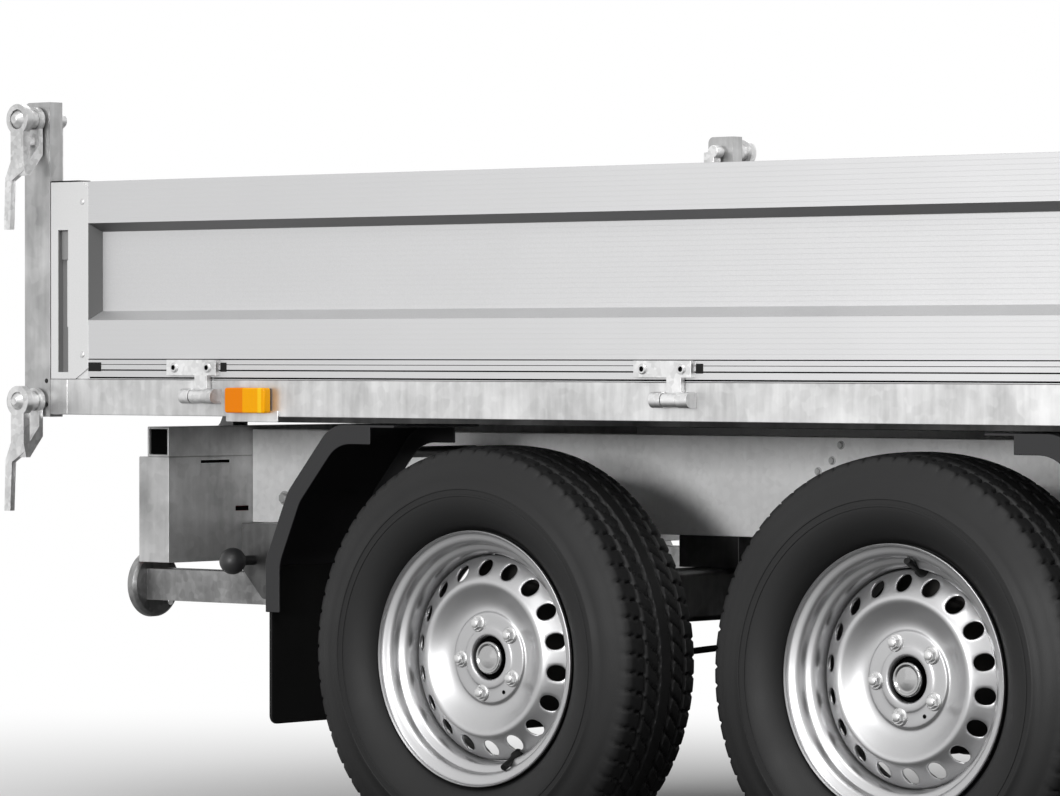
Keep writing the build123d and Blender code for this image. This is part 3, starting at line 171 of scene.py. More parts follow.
def softened(line: np.ndarray, rounds: int = 2, close: bool = False) -> np.ndarray:
    """A line whose corners are cut: each run gives points at a quarter and three quarters of it.

    Args:
        line: Rows of points.
        rounds: How often the corners are cut.
        close: Whether the line is a loop.

    Returns:
        The softened line, with the same end points where it is open.
    """
    for _ in range(rounds):
        after = np.roll(line, -1, axis=0)
        near, far = 0.75 * line + 0.25 * after, 0.25 * line + 0.75 * after
        cut = np.stack([near, far], axis=1).reshape(-1, line.shape[1])
        line = cut if close else np.concatenate([line[:1], cut[1:-3], line[-1:]])
    return line


def prism(outline: np.ndarray, axis: Axis, low: float, high: float) -> Shape:
    """An outline in the two other directions carried along an axis and closed at both ends.

    Args:
        outline: Rows of the two other coordinates, in the order X, Y, Z.
        axis: The direction it is carried in.
        low: Where it starts.
        high: Where it ends.

    Returns:
        The closed solid.
    """
    count = len(outline)
    points = np.zeros((2, count, 3))
    others = [index for index in range(3) if index != axis.value]
    points[:, :, others] = outline[None]
    points[0, :, axis.value] = low
    points[1, :, axis.value] = high
    shape = grid_surface(points, close_v=True)
    shape.faces += [tuple(range(count)), tuple(reversed(range(count, 2 * count)))]
    return shape


def rounded_box(low: tuple, high: tuple, radius: float, axis: Axis, steps: int = 5) -> Shape:
    """A box whose four edges along an axis are quarter circles.

    Args:
        low: Lowest corner.
        high: Highest corner.
        radius: Radius of the edges.
        axis: The direction of the round edges.
        steps: Points in a quarter circle.

    Returns:
        The closed solid.
    """
    first, second = [index for index in range(3) if index != axis.value]
    quarter = np.linspace(0, np.pi / 2, steps)
    corners = []
    for turn, x, z in (
        (0, high[first], high[second]), (1, low[first], high[second]),
        (2, low[first], low[second]), (3, high[first], low[second]),
    ):
        angle = quarter + turn * np.pi / 2
        centre_x = x - radius * np.sign(np.cos(turn * np.pi / 2 + np.pi / 4))
        centre_z = z - radius * np.sign(np.sin(turn * np.pi / 2 + np.pi / 4))
        corners.append(np.stack([centre_x + radius * np.cos(angle), centre_z + radius * np.sin(angle)], -1))
    return prism(np.concatenate(corners), axis, low[axis.value], high[axis.value])


def both(shape: Shape) -> Shape:
    """A shape and its mirror image on the other side of the trailer."""
    return Shape.joined([shape.turned(side.mirror) for side in Side])


def facing(direction: tuple[float, float, float]) -> np.ndarray:
    """A turn that takes the Y axis to a direction."""
    return np.array(Vector((0, 1, 0)).rotation_difference(Vector(direction)).to_matrix())


def hex_bolt(radius: float, height: float) -> Shape:
    """A hexagon head on a washer, along +Y from the origin, with a chamfered top."""
    washer = spun(np.array([(0, radius * 1.35), (height * 0.16, radius * 1.35), (height * 0.2, radius * 1.2),
                            (height * 0.2, 0.0)]), 24)
    head = spun(np.array([(height * 0.2, radius), (height * 0.86, radius), (height, radius * 0.84),
                          (height, 0.0)]), 6)
    return Shape.joined([washer, head])


def socket_bolt(radius: float, height: float) -> Shape:
    """A round domed head with a hole for its socket, along +Y from the origin."""
    return spun(np.array([(0, radius), (height * 0.5, radius), (height, radius * 0.8), (height, radius * 0.52),
                          (height * 0.4, radius * 0.5)]), 24)


def socket(radius: float, height: float) -> Shape:
    """The hexagon bottom of such a head's socket; it gets the near-black finish as painted shade inside the recess.
    """
    return spun(np.array([(height * 0.8, radius * 0.5), (height * 0.4, radius * 0.46), (height * 0.38, 0.0)]), 6)


def dome(radius: float, height: float) -> Shape:
    """A round rivet head along +Y from the origin."""
    angle = np.linspace(0, np.pi / 2, 6)
    return spun(np.stack([height * np.sin(angle), radius * np.cos(angle)], -1), 20)


def placed(name: str, data: bpy.types.ID) -> bpy.types.Object:
    """A new object of some data, in the scene."""
    item = bpy.data.objects.new(name, data)
    bpy.context.scene.collection.objects.link(item)
    return item


def put(name: str, shape: Shape, finish: bpy.types.Material, body: str,
        replaces: tuple[str, ...] = (), crease: float = 35.0, bevel: float = 0.0) -> bpy.types.Object:
    """Make an object of a shape, merge its doubled points and let it ride on a body.

    Args:
        name: Name of the piece.
        shape: Its surface.
        finish: Its material.
        body: The body it moves with.
        replaces: CAD nodes that it stands for.
        crease: Angle in degrees above which an edge stays sharp.
        bevel: Width in metres of its rounded edges.

    Returns:
        The object.
    """
    mesh = bpy.data.meshes.new(name)
    mesh.from_pydata(shape.points.tolist(), [], shape.faces)
    edit = bmesh.new()
    edit.from_mesh(mesh)
    bmesh.ops.remove_doubles(edit, verts=edit.verts, dist=0.00002)
    bmesh.ops.dissolve_degenerate(edit, dist=0.00001, edges=edit.edges)
    bmesh.ops.recalc_face_normals(edit, faces=edit.faces)
    edit.to_mesh(mesh)
    edit.free()
    return dress_mesh(name, mesh, finish, body, replaces, crease, bevel)


def dress_mesh(name: str, mesh: bpy.types.Mesh, finish: bpy.types.Material, body: str,
               replaces: tuple[str, ...], crease: float, bevel: float) -> bpy.types.Object:
    """Shade a mesh smooth up to its creases, round its edges and tie it to its body.

    Args:
        name: Name of the piece.
        mesh: Its mesh.
        finish: Its material.
        body: The body it moves with.
        replaces: CAD nodes that it stands for.
        crease: Angle in degrees above which an edge stays sharp.
        bevel: Width in metres of its rounded edges.

    Returns:
        The object.
    """
    piece = placed(name, mesh)
    mesh.materials.clear()
    mesh.materials.append(finish)
    mesh.shade_smooth()
    mesh.set_sharp_from_angle(angle=np.radians(crease))
    if bevel:
        rounding = piece.modifiers.new("edges", "BEVEL")
        rounding.width = bevel
        rounding.segments = 2
        rounding.limit_method = "ANGLE"
        rounding.angle_limit = np.radians(crease)
        rounding.harden_normals = True
    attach(piece, body)
    if replaces:
        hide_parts(*replaces)
    LOG.info("%s: %d faces on %s", name, len(mesh.polygons), body)
    return piece


def refined(node: str, finish: bpy.types.Material, bevel: float = 0.0015,
            crease: float = 30.0, shifts: tuple = ()) -> bpy.types.Object:
    """A CAD node's own form with its faces merged, round edges and smooth curves.

    Args:
        node: The CAD node.
        finish: Its material.
        bevel: Width in metres of its rounded edges.
        crease: Angle in degrees above which an edge stays sharp.
        shifts: Rows of from, to and distance: points between the first two along X move by the third.

    Returns:
        The piece that stands for the node.
    """
    mesh = frame["nodes"][node].data.copy()
    place = np.zeros(len(mesh.vertices) * 3)
    mesh.vertices.foreach_get("co", place)
    for low, high, distance in shifts:
        place[0::3] += distance * ((place[0::3] > low) & (place[0::3] < high))
    mesh.vertices.foreach_set("co", place)
    edit = bmesh.new()
    edit.from_mesh(mesh)
    bmesh.ops.remove_doubles(edit, verts=edit.verts, dist=0.00001)
    flat = np.radians(1.0)
    bmesh.ops.dissolve_limit(edit, angle_limit=flat, verts=edit.verts, edges=edit.edges)
    edit.to_mesh(mesh)
    edit.free()
    return dress_mesh(f"{node}_finished", mesh, finish, BODY_OF[node], (node,), crease, bevel)


def tinted(piece: bpy.types.Object, finish: bpy.types.Material, low: tuple, high: tuple,
           slanted: bool = False) -> None:
    """Give another finish to the faces whose middles lie in a box.

    Args:
        piece: The piece.
        finish: The other finish.
        low: Lowest corner of the box, with Y as a distance from the middle plane.
        high: Highest corner of the box.
        slanted: Whether only faces that look both along and across the trailer count.
    """
    faces = piece.data.polygons
    middle, normal = np.zeros((len(faces), 3)), np.zeros((len(faces), 3))
    faces.foreach_get("center", middle.reshape(-1))
    faces.foreach_get("normal", normal.reshape(-1))
    middle[:, 1] = np.abs(middle[:, 1])
    chosen = ((middle > low) & (middle < high)).all(axis=1)
    if slanted:
        chosen &= (np.abs(normal[:, :2]) > 0.2).all(axis=1)
    if finish.name not in piece.data.materials:
        piece.data.materials.append(finish)
    index = np.zeros(len(faces), dtype=np.int32)
    faces.foreach_get("material_index", index)
    index[chosen] = piece.data.materials.find(finish.name)
    faces.foreach_set("material_index", index)


@dataclass
class Tree:
    """A shader tree with short ways to add nodes and to feed their inputs.

    Args:
        nodes: The tree's nodes.
        links: The tree's links.
    """

    nodes: bpy.types.Nodes
    links: bpy.types.NodeLinks

    @staticmethod
    def of(owner: bpy.types.ID) -> "Tree":
        """The tree of a material or world, which is switched on."""
        owner.use_nodes = True
        return Tree(owner.node_tree.nodes, owner.node_tree.links)

    def feed(self, node: bpy.types.Node, inputs: dict) -> None:
        """Link a node's inputs to sockets, and set constant values on them directly.

        Args:
            node: The node.
            inputs: A socket or a constant by each input's name or number.
        """
        for key, value in inputs.items():
            if isinstance(value, bpy.types.NodeSocket):
                self.links.new(value, node.inputs[key])
            else:
                node.inputs[key].default_value = value

    def node(self, kind: str, inputs: dict, **settings: object) -> bpy.types.Node:
        """A new shader node.

        Args:
            kind: Its type, without the words ShaderNode.
            inputs: A socket or a constant by each input's name or number.
            settings: Its other settings.

        Returns:
            The node.
        """
        node = self.nodes.new(f"ShaderNode{kind}")
        for key, value in settings.items():
            setattr(node, key, value)
        self.feed(node, inputs)
        return node

    def add(self, kind: str, inputs: dict, output: int | str = 0, **settings: object) -> bpy.types.NodeSocket:
        """An output of a new shader node, whose other arguments are those of node."""
        return self.node(kind, inputs, **settings).outputs[output]

    def math(self, operation: str, *values: bpy.types.NodeSocket | float) -> bpy.types.NodeSocket:
        """The result of an operation on sockets and numbers."""
        return self.add("Math", dict(enumerate(values)), operation=operation)

    def bump(self, height: bpy.types.NodeSocket, strength: float, distance: float) -> bpy.types.NodeSocket:
        """The normals of a surface with a height on it, as deep as the distance in metres."""
        return self.add("Bump", {"Height": height, "Strength": strength, "Distance": distance})


def blank_material(name: str) -> tuple[bpy.types.Material, bpy.types.Node, Tree]:
    """A material with its shader and tree.

    Args:
        name: The material's name.

    Returns:
        The material, its shader and its tree.
    """
    material = bpy.data.materials.new(name)
    tree = Tree.of(material)
    return material, tree.nodes["Principled BSDF"], tree


class Effects:
    """Shader node groups that more than one finish uses."""

    def __init__(self) -> None:
        """Build the groups."""
        self.spangle = self._spangle()
        self.grain = self._grain()

    @staticmethod
    def _group(name: str, inputs: dict[str, float], outputs: tuple[str, ...]) -> tuple:
        """An empty group with named sockets.

        Args:
            name: The group's name.
            inputs: Number inputs and their values.
            outputs: Names of outputs; one that ends with Colour is a colour.

        Returns:
            The group, its tree, the sockets of its inputs, and the socket of Object coordinates.
        """
        group = bpy.data.node_groups.new(name, "ShaderNodeTree")
        for label, value in inputs.items():
            entry = group.interface.new_socket(label, in_out="INPUT", socket_type="NodeSocketFloat")
            entry.default_value = value
        for label in outputs:
            kind = "NodeSocketColor" if label.endswith("Colour") else "NodeSocketFloat"
            group.interface.new_socket(label, in_out="OUTPUT", socket_type=kind)
        tree = Tree(group.nodes, group.links)
        return group, tree, group.nodes.new("NodeGroupInput").outputs, tree.add("TexCoord", {}, "Object")

    def _spangle(self) -> bpy.types.NodeTree:
        """Zinc crystals and runs: cells of even tone, clouds between them and faint upright streaks."""
        group, tree, start, where = self._group(
            "spangle", {"Size": 60.0, "Contrast": 0.3, "Streaks": 0.3, "Light": 0.7, "Dark": 0.45},
            ("Colour", "Roughness", "Height"),
        )
        cells = tree.add("TexVoronoi", {"Vector": where, "Scale": start["Size"], "Smoothness": 0.35},
                         "Color", feature="SMOOTH_F1")
        clouds = tree.add("TexNoise", {"Vector": where, "Scale": 9.0, "Detail": 6.0}, "Fac")
        upright = tree.add("Mapping", {"Vector": where, "Scale": (1.0, 1.0, 0.12)}, "Vector")
        streaks = tree.add("TexNoise", {"Vector": upright, "Scale": 70.0, "Detail": 3.0}, "Fac")
        tone = tree.math("ADD", tree.math("MULTIPLY", cells, start["Contrast"]), tree.math("SUBTRACT", clouds, 0.25))
        total = tree.math("ADD", tone, tree.math("MULTIPLY", streaks, start["Streaks"]))
        grey_tone = tree.add("MapRange", {"Value": total, "From Min": 0.25, "From Max": 0.85,
                                          "To Min": start["Dark"], "To Max": start["Light"]}, "Result")
        rough = tree.add("MapRange", {"Value": total, "To Min": 0.5, "To Max": 0.3}, "Result")
        colour = tree.add("CombineColor", {"Red": grey_tone, "Green": grey_tone, "Blue": grey_tone}, "Color")
        tree.feed(group.nodes.new("NodeGroupOutput"), {"Colour": colour, "Roughness": rough, "Height": total})
        return group

    def _grain(self) -> bpy.types.NodeTree:
        """Fine even grain with slow changes of tone, for paint, plastic and rubber."""
        group, tree, start, where = self._group(
            "grain", {"Fine": 900.0, "Slow": 6.0, "Low": 0.4, "High": 0.6}, ("Tone", "Height"))
        fine = tree.add("TexNoise", {"Vector": where, "Scale": start["Fine"]}, "Fac")
        slow = tree.add("TexNoise", {"Vector": where, "Scale": start["Slow"], "Detail": 5.0}, "Fac")
        tone = tree.add("MapRange", {"Value": slow, "From Min": 0.3, "From Max": 0.7,
                                     "To Min": start["Low"], "To Max": start["High"]}, "Result")
        tree.feed(group.nodes.new("NodeGroupOutput"), {"Tone": tone, "Height": fine})
        return group


@dataclass(frozen=True)
class Zinc:
    """Hot-dip galvanised steel.

    Args:
        name: The material's name.
        light: Tone of the pale crystals.
        dark: Tone of the dark crystals.
        size: Crystals per metre.
        contrast: How far crystals differ.
        streaks: Strength of upright runs.
        metallic: Share of metal.
    """

    name: str
    light: float = 0.86
    dark: float = 0.5
    size: float = 70.0
    contrast: float = 0.16
    streaks: float = 0.35
    metallic: float = 0.88

    def make(self, effects: Effects) -> bpy.types.Material:
        """Build the material with the spangle group."""
        material, shader, tree = blank_material(self.name)
        zinc = tree.node("Group", {"Size": self.size, "Contrast": self.contrast, "Streaks": self.streaks,
                                   "Light": self.light, "Dark": self.dark}, node_tree=effects.spangle).outputs
        tree.feed(shader, {
            "Base Color": zinc["Colour"], "Roughness": zinc["Roughness"], "Metallic": self.metallic,
            "Normal": tree.bump(zinc["Height"], 0.06, 0.001),
        })
        return material


@dataclass(frozen=True)
class Plain:
    """Paint, plastic, rubber or plain metal with a fine grain.

    Args:
        name: The material's name.
        colour: Its colour, or the tone of a grey one.
        metallic: Share of metal.
        roughness: Lowest and highest roughness.
        fine: Grains per metre.
        bump: Strength of the grain.
        coat: Weight of a clear coat.
        specular: Strength of its gloss where it isn't metal.
    """

    name: str
    colour: tuple[float, float, float] | float
    metallic: float = 0.0
    roughness: tuple[float, float] = (0.4, 0.5)
    fine: float = 900.0
    bump: float = 0.05
    coat: float = 0.0
    specular: float = 0.5

    def make(self, effects: Effects) -> bpy.types.Material:
        """Build the material with the grain group."""
        material, shader, tree = blank_material(self.name)
        low, high = self.roughness
        grain = tree.node("Group", {"Fine": self.fine, "Low": low, "High": high}, node_tree=effects.grain).outputs
        colour = (self.colour,) * 3 if isinstance(self.colour, float) else self.colour
        shade = tree.add("MixRGB", {
            "Fac": grain["Height"], "Color1": (*[part * 0.9 for part in colour], 1),
            "Color2": (*[min(part * 1.08, 1.0) for part in colour], 1),
        }, "Color")
        tree.feed(shader, {
            "Base Color": shade, "Roughness": grain["Tone"], "Metallic": self.metallic,
            "Coat Weight": self.coat, "Specular IOR Level": self.specular,
            "Normal": tree.bump(grain["Height"], self.bump, 0.0005),
        })
        return material


@dataclass(frozen=True)
class Lens:
    """Ribbed clear lens of a lamp, with a darker half and a bright band; it glows faintly in its own colours, a
    painted glow.

    Args:
        name: The material's name.
        first: Colour of its rear half.
        second: Colour of its front half.
        band: Colour of the bright band.
        split: Where the halves meet, along X in metres.
        band_at: Where the band is, along X in metres.
    """

    name: str
    first: tuple[float, float, float]
    second: tuple[float, float, float]
    band: tuple[float, float, float]
    split: float
    band_at: float

    def make(self) -> bpy.types.Material:
        """Build the material: the colour steps along X and fine ribs run across it."""
        material, shader, tree = blank_material(self.name)
        where = tree.add("TexCoord", {}, "Object")
        along = tree.add("SeparateXYZ", {"Vector": where}, "X")
        halves = tree.add("MixRGB", {
            "Fac": tree.math("GREATER_THAN", along, self.split),
            "Color1": (*self.first, 1), "Color2": (*self.second, 1),
        }, "Color")
        whole = tree.add("MixRGB", {
            "Fac": tree.math("COMPARE", along, self.band_at, 0.004),
            "Color1": halves, "Color2": (*self.band, 1),
        }, "Color")
        ribs = tree.add("TexWave", {"Vector": where, "Scale": 45.0}, "Fac", bands_direction="X")
        tree.feed(shader, {
            # the emission is a painted glow of the lens's own colours
            "Base Color": whole, "Emission Color": whole, "Emission Strength": 0.32, "Roughness": 0.22,
            "Specular IOR Level": 0.12, "Normal": tree.bump(ribs, 0.15, 0.001),
        })
        return material


class Finishes:
    """All materials of the trailer, by name."""

    zincs: ClassVar[dict] = {
        "zinc": Zinc("galvanised_steel", light=0.72, dark=0.34, contrast=0.16, metallic=0.35),
        # a brightened, nearly non-metallic copy of galvanised steel: painted light on the side members
        "zinc_member": Zinc("galvanised_member", 1.0, 0.8, size=110.0, contrast=0.3, metallic=0.05),
        "zinc_rail": Zinc("galvanised_rail", 0.79, 0.4, streaks=0.5),
        "zinc_floor": Zinc("galvanised_floor", 0.42, 0.32, size=45.0, contrast=0.08, streaks=0.1, metallic=0.2),
        "zinc_post": Zinc("galvanised_post", 0.6, 0.28, size=55.0, streaks=0.5),
        "zinc_leg": Zinc("galvanised_leg", 0.4, 0.13, size=90.0, contrast=0.25),
        # a near-black copy of galvanised steel: painted shade for the parts under the bed
        "zinc_dark": Zinc("galvanised_underside", 0.17, 0.05, size=50.0),
        "forging": Zinc("galvanised_forging", 1.0, 0.5, size=130.0, contrast=0.3, streaks=0.1),
    }
    plains: ClassVar[dict] = {
        "alu": Plain("anodised_aluminium", (0.62, 0.62, 0.625), 0.9, (0.42, 0.5), 700.0, 0.02),
        # a darker copy of the anodised aluminium: painted shade for the downward slant under a board's top box
        "alu_shade": Plain("slant_aluminium", (0.18, 0.18, 0.182), 0.9, (0.4, 0.5), 700.0, 0.02),
        "alu_smooth": Plain("smooth_end_plate", 0.73, 0.5, (0.4, 0.46), 500.0, 0.01),
        # darker tints: painted shade inside the end blocks' slots and on the recess reveals
        "slot": Plain("slot_inside", 0.24, 0.3, (0.5, 0.6)),
        "reveal": Plain("recess_end", 0.11, 0.4, (0.5, 0.6)),
        "latch": Plain("latch_plate", 0.3, 0.6, (0.35, 0.45)),
        "wheel": Plain("wheel_silver", (0.49, 0.49, 0.495), 0.9, (0.34, 0.42), 1500.0, 0.03, 0.15),
        "drum": Plain("brake_drum", (0.03, 0.028, 0.026), 0.3, (0.5, 0.7)),
        "chrome": Plain("hub_cap_chrome", 0.42, 1.0, (0.1, 0.16), 60.0, 0.25),
        "bolt": Plain("bright_bolt", 0.66, 0.9, (0.26, 0.34), 800.0, 0.02),
        "tyre": Plain("tyre_rubber", (0.011, 0.011, 0.0112), 0.0, (0.5, 0.62), 600.0, 0.3, specular=0.28),
        "rubber": Plain("black_rubber", 0.006, 0.0, (0.5, 0.6), 700.0, 0.06, specular=0.2),
        "plastic": Plain("black_plastic", (0.03, 0.03, 0.031), 0.0, (0.36, 0.44), 1600.0, 0.1),
        "guard": Plain("mudguard_plastic", (0.016, 0.016, 0.017), 0.0, (0.38, 0.48), 900.0, 0.1, specular=0.35),
        "paint": Plain("black_paint", 0.03, 0.1, (0.3, 0.38), 900.0, 0.03, 0.2),
        "steel": Plain("turned_steel", 0.62, 1.0, (0.16, 0.24), 1200.0, 0.02),
        # near-black painted shade for groove insides, socket bottoms, the hub bore, open tube ends and the lamp
        # board's cuts
        "void": Plain("dark_hollow", 0.004, 0.0, (0.8, 0.9), specular=0.0),
    }

    def __init__(self) -> None:
        """Build the groups and the materials."""
        effects = Effects()
        self.made = {name: finish.make(effects) for name, finish in (self.zincs | self.plains).items()}
        red = (0.45, 0.02, 0.015)
        self.made["red"] = Lens("red_lens", (0.35, 0.01, 0.01), red, red, PAST_ENDS, PAST_ENDS).make()

    def __getitem__(self, name: str) -> bpy.types.Material:
        """The material of a finish by its name."""
        return self.made[name]


@dataclass
class Wheels:
    """Steel wheels with a dished disc and round holes, and their tyres.

    All lengths are in metres, and angles in degrees run from the front upwards.

    Args:
        spacing: Distance between the axles.
        hub_z: Height of the hubs.
        face: Distance of the rim's outer edge from the middle plane.
        rim_width: Width over the rim's flanges.
        tyre_width: Width over the sidewalls.
        tread_width: Width of the tread.
        radius: Radius of the tyre.
        facets: Steps round the tyre.
        pitches: Repeats of the tread's pattern round the tyre.
        hole_radius: Radius of the disc's holes.
        hole_circle: Radius of the circle they stand on.
        ring_half: Half the width of the ring that is made around them.
        hole_count: How many they are.
        hole_phase: Angle of the first hole.
        bolt_circle: Radius of the circle of bolts.
        bolt_count: How many bolts there are.
        bolt_phase: Angle of the first bolt.
        land: Depth of the bolts' land behind the rim's outer edge.
        rim_line: The rim's outer side as depth and radius.
        disc_line: The disc's outer side as depth and radius, from its edge inwards.
    """

    spacing: float = 0.796
    hub_z: float = 0.325
    face: float = 0.910
    rim_width: float = 0.140
    tyre_width: float = 0.188
    tread_width: float = 0.146
    radius: float = 0.325
    facets: int = 504
    pitches: int = 72
    hole_radius: float = 0.0122
    hole_circle: float = 0.138
    ring_half: float = 0.0165
    hole_count: int = 18
    hole_phase: float = 12.5
    bolt_circle: float = 0.056
    bolt_count: int = 5
    bolt_phase: float = 40.0
    land: float = 0.0382
    rim_line: tuple = (
        (0.0, 0.1945), (0.0008, 0.1957), (0.005, 0.1955), (0.009, 0.1925), (0.0115, 0.184), (0.014, 0.1792),
        (0.0245, 0.1782), (0.0278, 0.1755), (0.0308, 0.1670), (0.0345, 0.1640), (0.050, 0.1625), (0.086, 0.162),
        (0.097, 0.168), (0.108, 0.1765), (0.124, 0.178), (0.130, 0.184), (0.133, 0.1925), (0.140, 0.1955),
    )
    disc_line: tuple = (
        (0.0680, 0.1580), (0.0560, 0.1578), (0.0505, 0.1555), (0.0460, 0.1500), (0.0368, 0.1380), (0.0285, 0.1265),
        (0.0245, 0.1195), (0.0250, 0.1130), (0.0300, 0.1050), (0.0370, 0.0930), (0.0410, 0.0830), (0.0425, 0.0750),
        (0.0418, 0.0712), (0.0388, 0.0696), (0.0382, 0.0670), (0.0382, 0.0480), (0.0368, 0.0455), (0.0366, 0.0370),
        (0.0376, 0.0345), (0.0410, 0.0330), (0.0470, 0.0328),
    )

    def place(self, shape: Shape, hub_x: float, side: Side) -> Shape:
        """Put a shape drawn about a hub, with Y outwards from the rim's face, at its wheel."""
        return shape.turned(side.mirror).moved((hub_x, side.value * self.face, self.hub_z))

    def sheet(self, line: np.ndarray, thickness: float) -> np.ndarray:
        """A closed profile around a line of (depth, radius), thickened away from its outer side."""
        along = np.gradient(line, axis=0)
        away = np.stack([along[:, 1], -along[:, 0]], -1)
        away /= np.linalg.norm(away, axis=1)[:, None]
        return np.concatenate([line, (line + away * thickness)[::-1]])

    def rim(self) -> Shape:
        """The drop-centre rim, turned from its profile."""
        return spun(self.sheet(softened(np.array(self.rim_line), 1), 0.0032) * [-1, 1], 112, close=True)

    def disc(self) -> Shape:
        """The dished disc, with a ring of round holes between two of its radii.

        Each sector of the ring is a grid from its hole's circle out to its four sides.
        """
        line = softened(np.array(self.disc_line), 2)
        depth, radius = line[:, 0], line[:, 1]
        order = np.argsort(radius)
        low, high = self.hole_circle - self.ring_half, self.hole_circle + self.ring_half
        count, across = self.hole_count, 12
        whole = count * across

        def surface_depth(at: np.ndarray) -> np.ndarray:
            """Depth of the disc's outer side at a radius."""
            return np.interp(at, radius[order], depth[order])

        def ring(values: np.ndarray) -> Shape:
            """A part of the disc's profile turned about the hub in step with the sectors."""
            turn = np.radians(self.hole_phase - 180 / count) + np.linspace(0, 2 * np.pi, whole, endpoint=False)
            points = np.stack(
                [values[None, :, 1] * np.cos(turn)[:, None],
                 np.broadcast_to(-values[None, :, 0], (whole, len(values))),
                 values[None, :, 1] * np.sin(turn)[:, None]], -1)
            return grid_surface(points, close_u=True)

        outer = np.concatenate([line[radius > high], [[surface_depth(high), high]]])
        inner = np.concatenate([[[surface_depth(low), low]], line[radius < low]])
        half = np.pi / count
        side = np.linspace(-half, half, across + 1)
        climb = 6
        rise = np.linspace(low, high, climb + 1)
        border = np.concatenate([
            np.stack([np.full(across, high), side[:-1]], -1),
            np.stack([rise[::-1][:-1], np.full(climb, half)], -1),
            np.stack([np.full(across, low), side[::-1][:-1]], -1),
            np.stack([rise[:-1], np.full(climb, -half)], -1),
        ])
        flat = np.stack([border[:, 0] * np.cos(border[:, 1]), border[:, 0] * np.sin(border[:, 1])], -1)
        away = flat - [self.hole_circle, 0]
        hole = [self.hole_circle, 0] + self.hole_radius * away / np.linalg.norm(away, axis=1)[:, None]
        share = np.array([0.0, 0.12, 0.4, 1.0])[:, None, None]
        patch = hole[None] * (1 - share) + flat[None] * share
        dip = np.array([0.0012, 0.0002, 0.0, 0.0])[:, None]
        sectors = []
        for index in range(count):
            turn = np.radians(self.hole_phase) + 2 * np.pi * index / count
            x = patch[..., 0] * np.cos(turn) - patch[..., 1] * np.sin(turn)
            z = patch[..., 0] * np.sin(turn) + patch[..., 1] * np.cos(turn)
            y = -surface_depth(np.hypot(patch[..., 0], patch[..., 1])) - dip
            sectors.append(grid_surface(np.stack([x, y, z], -1), close_v=True))
        return Shape.joined([ring(outer), ring(inner)] + sectors)

    def polar(self, radius: float, degrees: float, depth: float) -> tuple[float, float, float]:
        """A point on the disc by its radius, angle and depth behind the rim's face."""
        turn = np.radians(degrees)
        return radius * np.cos(turn), -depth, radius * np.sin(turn)

    def hub(self) -> Shape:
        """Drum and hub behind the disc, turned from one profile."""
        line = np.array([
            (0.172, 0.104), (0.172, 0.112), (0.112, 0.112), (0.108, 0.109), (0.074, 0.080), (0.048, 0.073),
            (0.043, 0.070), (0.043, 0.0345), (0.056, 0.034), (0.056, 0.0),
        ])
        back = np.array([(0.172, 0.104), (0.12, 0.104), (0.12, 0.042), (0.17, 0.042), (0.17, 0.021), (0.08, 0.021),
                         (0.08, 0.0)])
        return Shape.joined([spun(part * [-1, 1], 72) for part in (line, back)])

    def cap(self) -> Shape:
        """The blank domed hub cap with a rolled rim."""
        line = softened(np.array([
            (0.056, 0.0262), (0.042, 0.0262), (0.0362, 0.0250), (0.0352, 0.0225), (0.0362, 0.0200), (0.0375, 0.0185),
            (0.0365, 0.0120), (0.0352, 0.0),
        ]), 2)
        return spun(line * [-1, 1], 64)

    def bolts(self) -> Shape:
        """Cone-seat wheel bolts: a seat, a hexagon head and its raised top."""
        shapes = []
        seat = spun(np.array([(-0.004, 0.0135), (0.0015, 0.0132), (0.003, 0.0112), (0.003, 0.0)]), 24)
        head = spun(np.array([(0.002, 0.0098), (0.0075, 0.0098), (0.009, 0.0086), (0.009, 0.0)]), 6)
        top = spun(np.array([(0.0085, 0.0066), (0.0112, 0.0062), (0.0118, 0.0050), (0.0118, 0.0)]), 20)
        for index in range(self.bolt_count):
            at = self.polar(self.bolt_circle, self.bolt_phase + 360 * index / self.bolt_count, self.land)
            shapes += [part.moved(at) for part in (seat, head, top)]
        return Shape.joined(shapes)

    def shield(self) -> Shape:
        """A dark arc of a flat ring behind the disc's upper holes, as far as their upper half: painted shade seen
        through them.
        """
        count = 60
        turn = np.radians(np.linspace(4, 200, count))[:, None]
        profile = np.array([(0.1355, 0.108), (0.1355, 0.1705), (0.1375, 0.1705), (0.1375, 0.108)])
        radius = profile[None, :, 1]
        points = np.stack([radius * np.cos(turn), np.broadcast_to(-profile[None, :, 0], (count, 4)),
                           radius * np.sin(turn)], -1)
        shape = grid_surface(points, close_v=True)
        shape.faces += [tuple(range(4)), tuple(reversed(range(4 * count - 4, 4 * count)))]
        return shape

    def valve(self, degrees: float) -> Shape:
        """A rubber valve stem with its cap, leaning outwards through the rim."""
        line = np.array([(-0.012, 0.0085), (0.0, 0.0085), (0.004, 0.006), (0.022, 0.0048), (0.024, 0.0055),
                         (0.036, 0.0052), (0.037, 0.0)])
        stem = spun(line, 16)
        turn = np.radians(degrees)
        lean = facing((0.45 * np.cos(turn), 1.0, 0.45 * np.sin(turn)))
        return stem.turned(lean).moved(self.polar(0.158, degrees, 0.041))

    def tread_depth(self, across: np.ndarray, turn: np.ndarray) -> np.ndarray:
        """Depth of the tread in metres at a place across it and round it.

        Four straight grooves, slanted cuts between them and short cuts at the shoulders: each is a
        smooth dip of the distance from its middle line.

        Args:
            across: Distance from the tread's middle in metres.
            turn: Angle round the tyre in radians.

        Returns:
            The depth, of the two arrays' common shape.
        """
        def dip(distance: np.ndarray, half: float) -> np.ndarray:
            """One near the middle line, falling evenly to nought at the half width."""
            return np.clip(1.5 * (1 - np.abs(distance) / half), 0, 1)

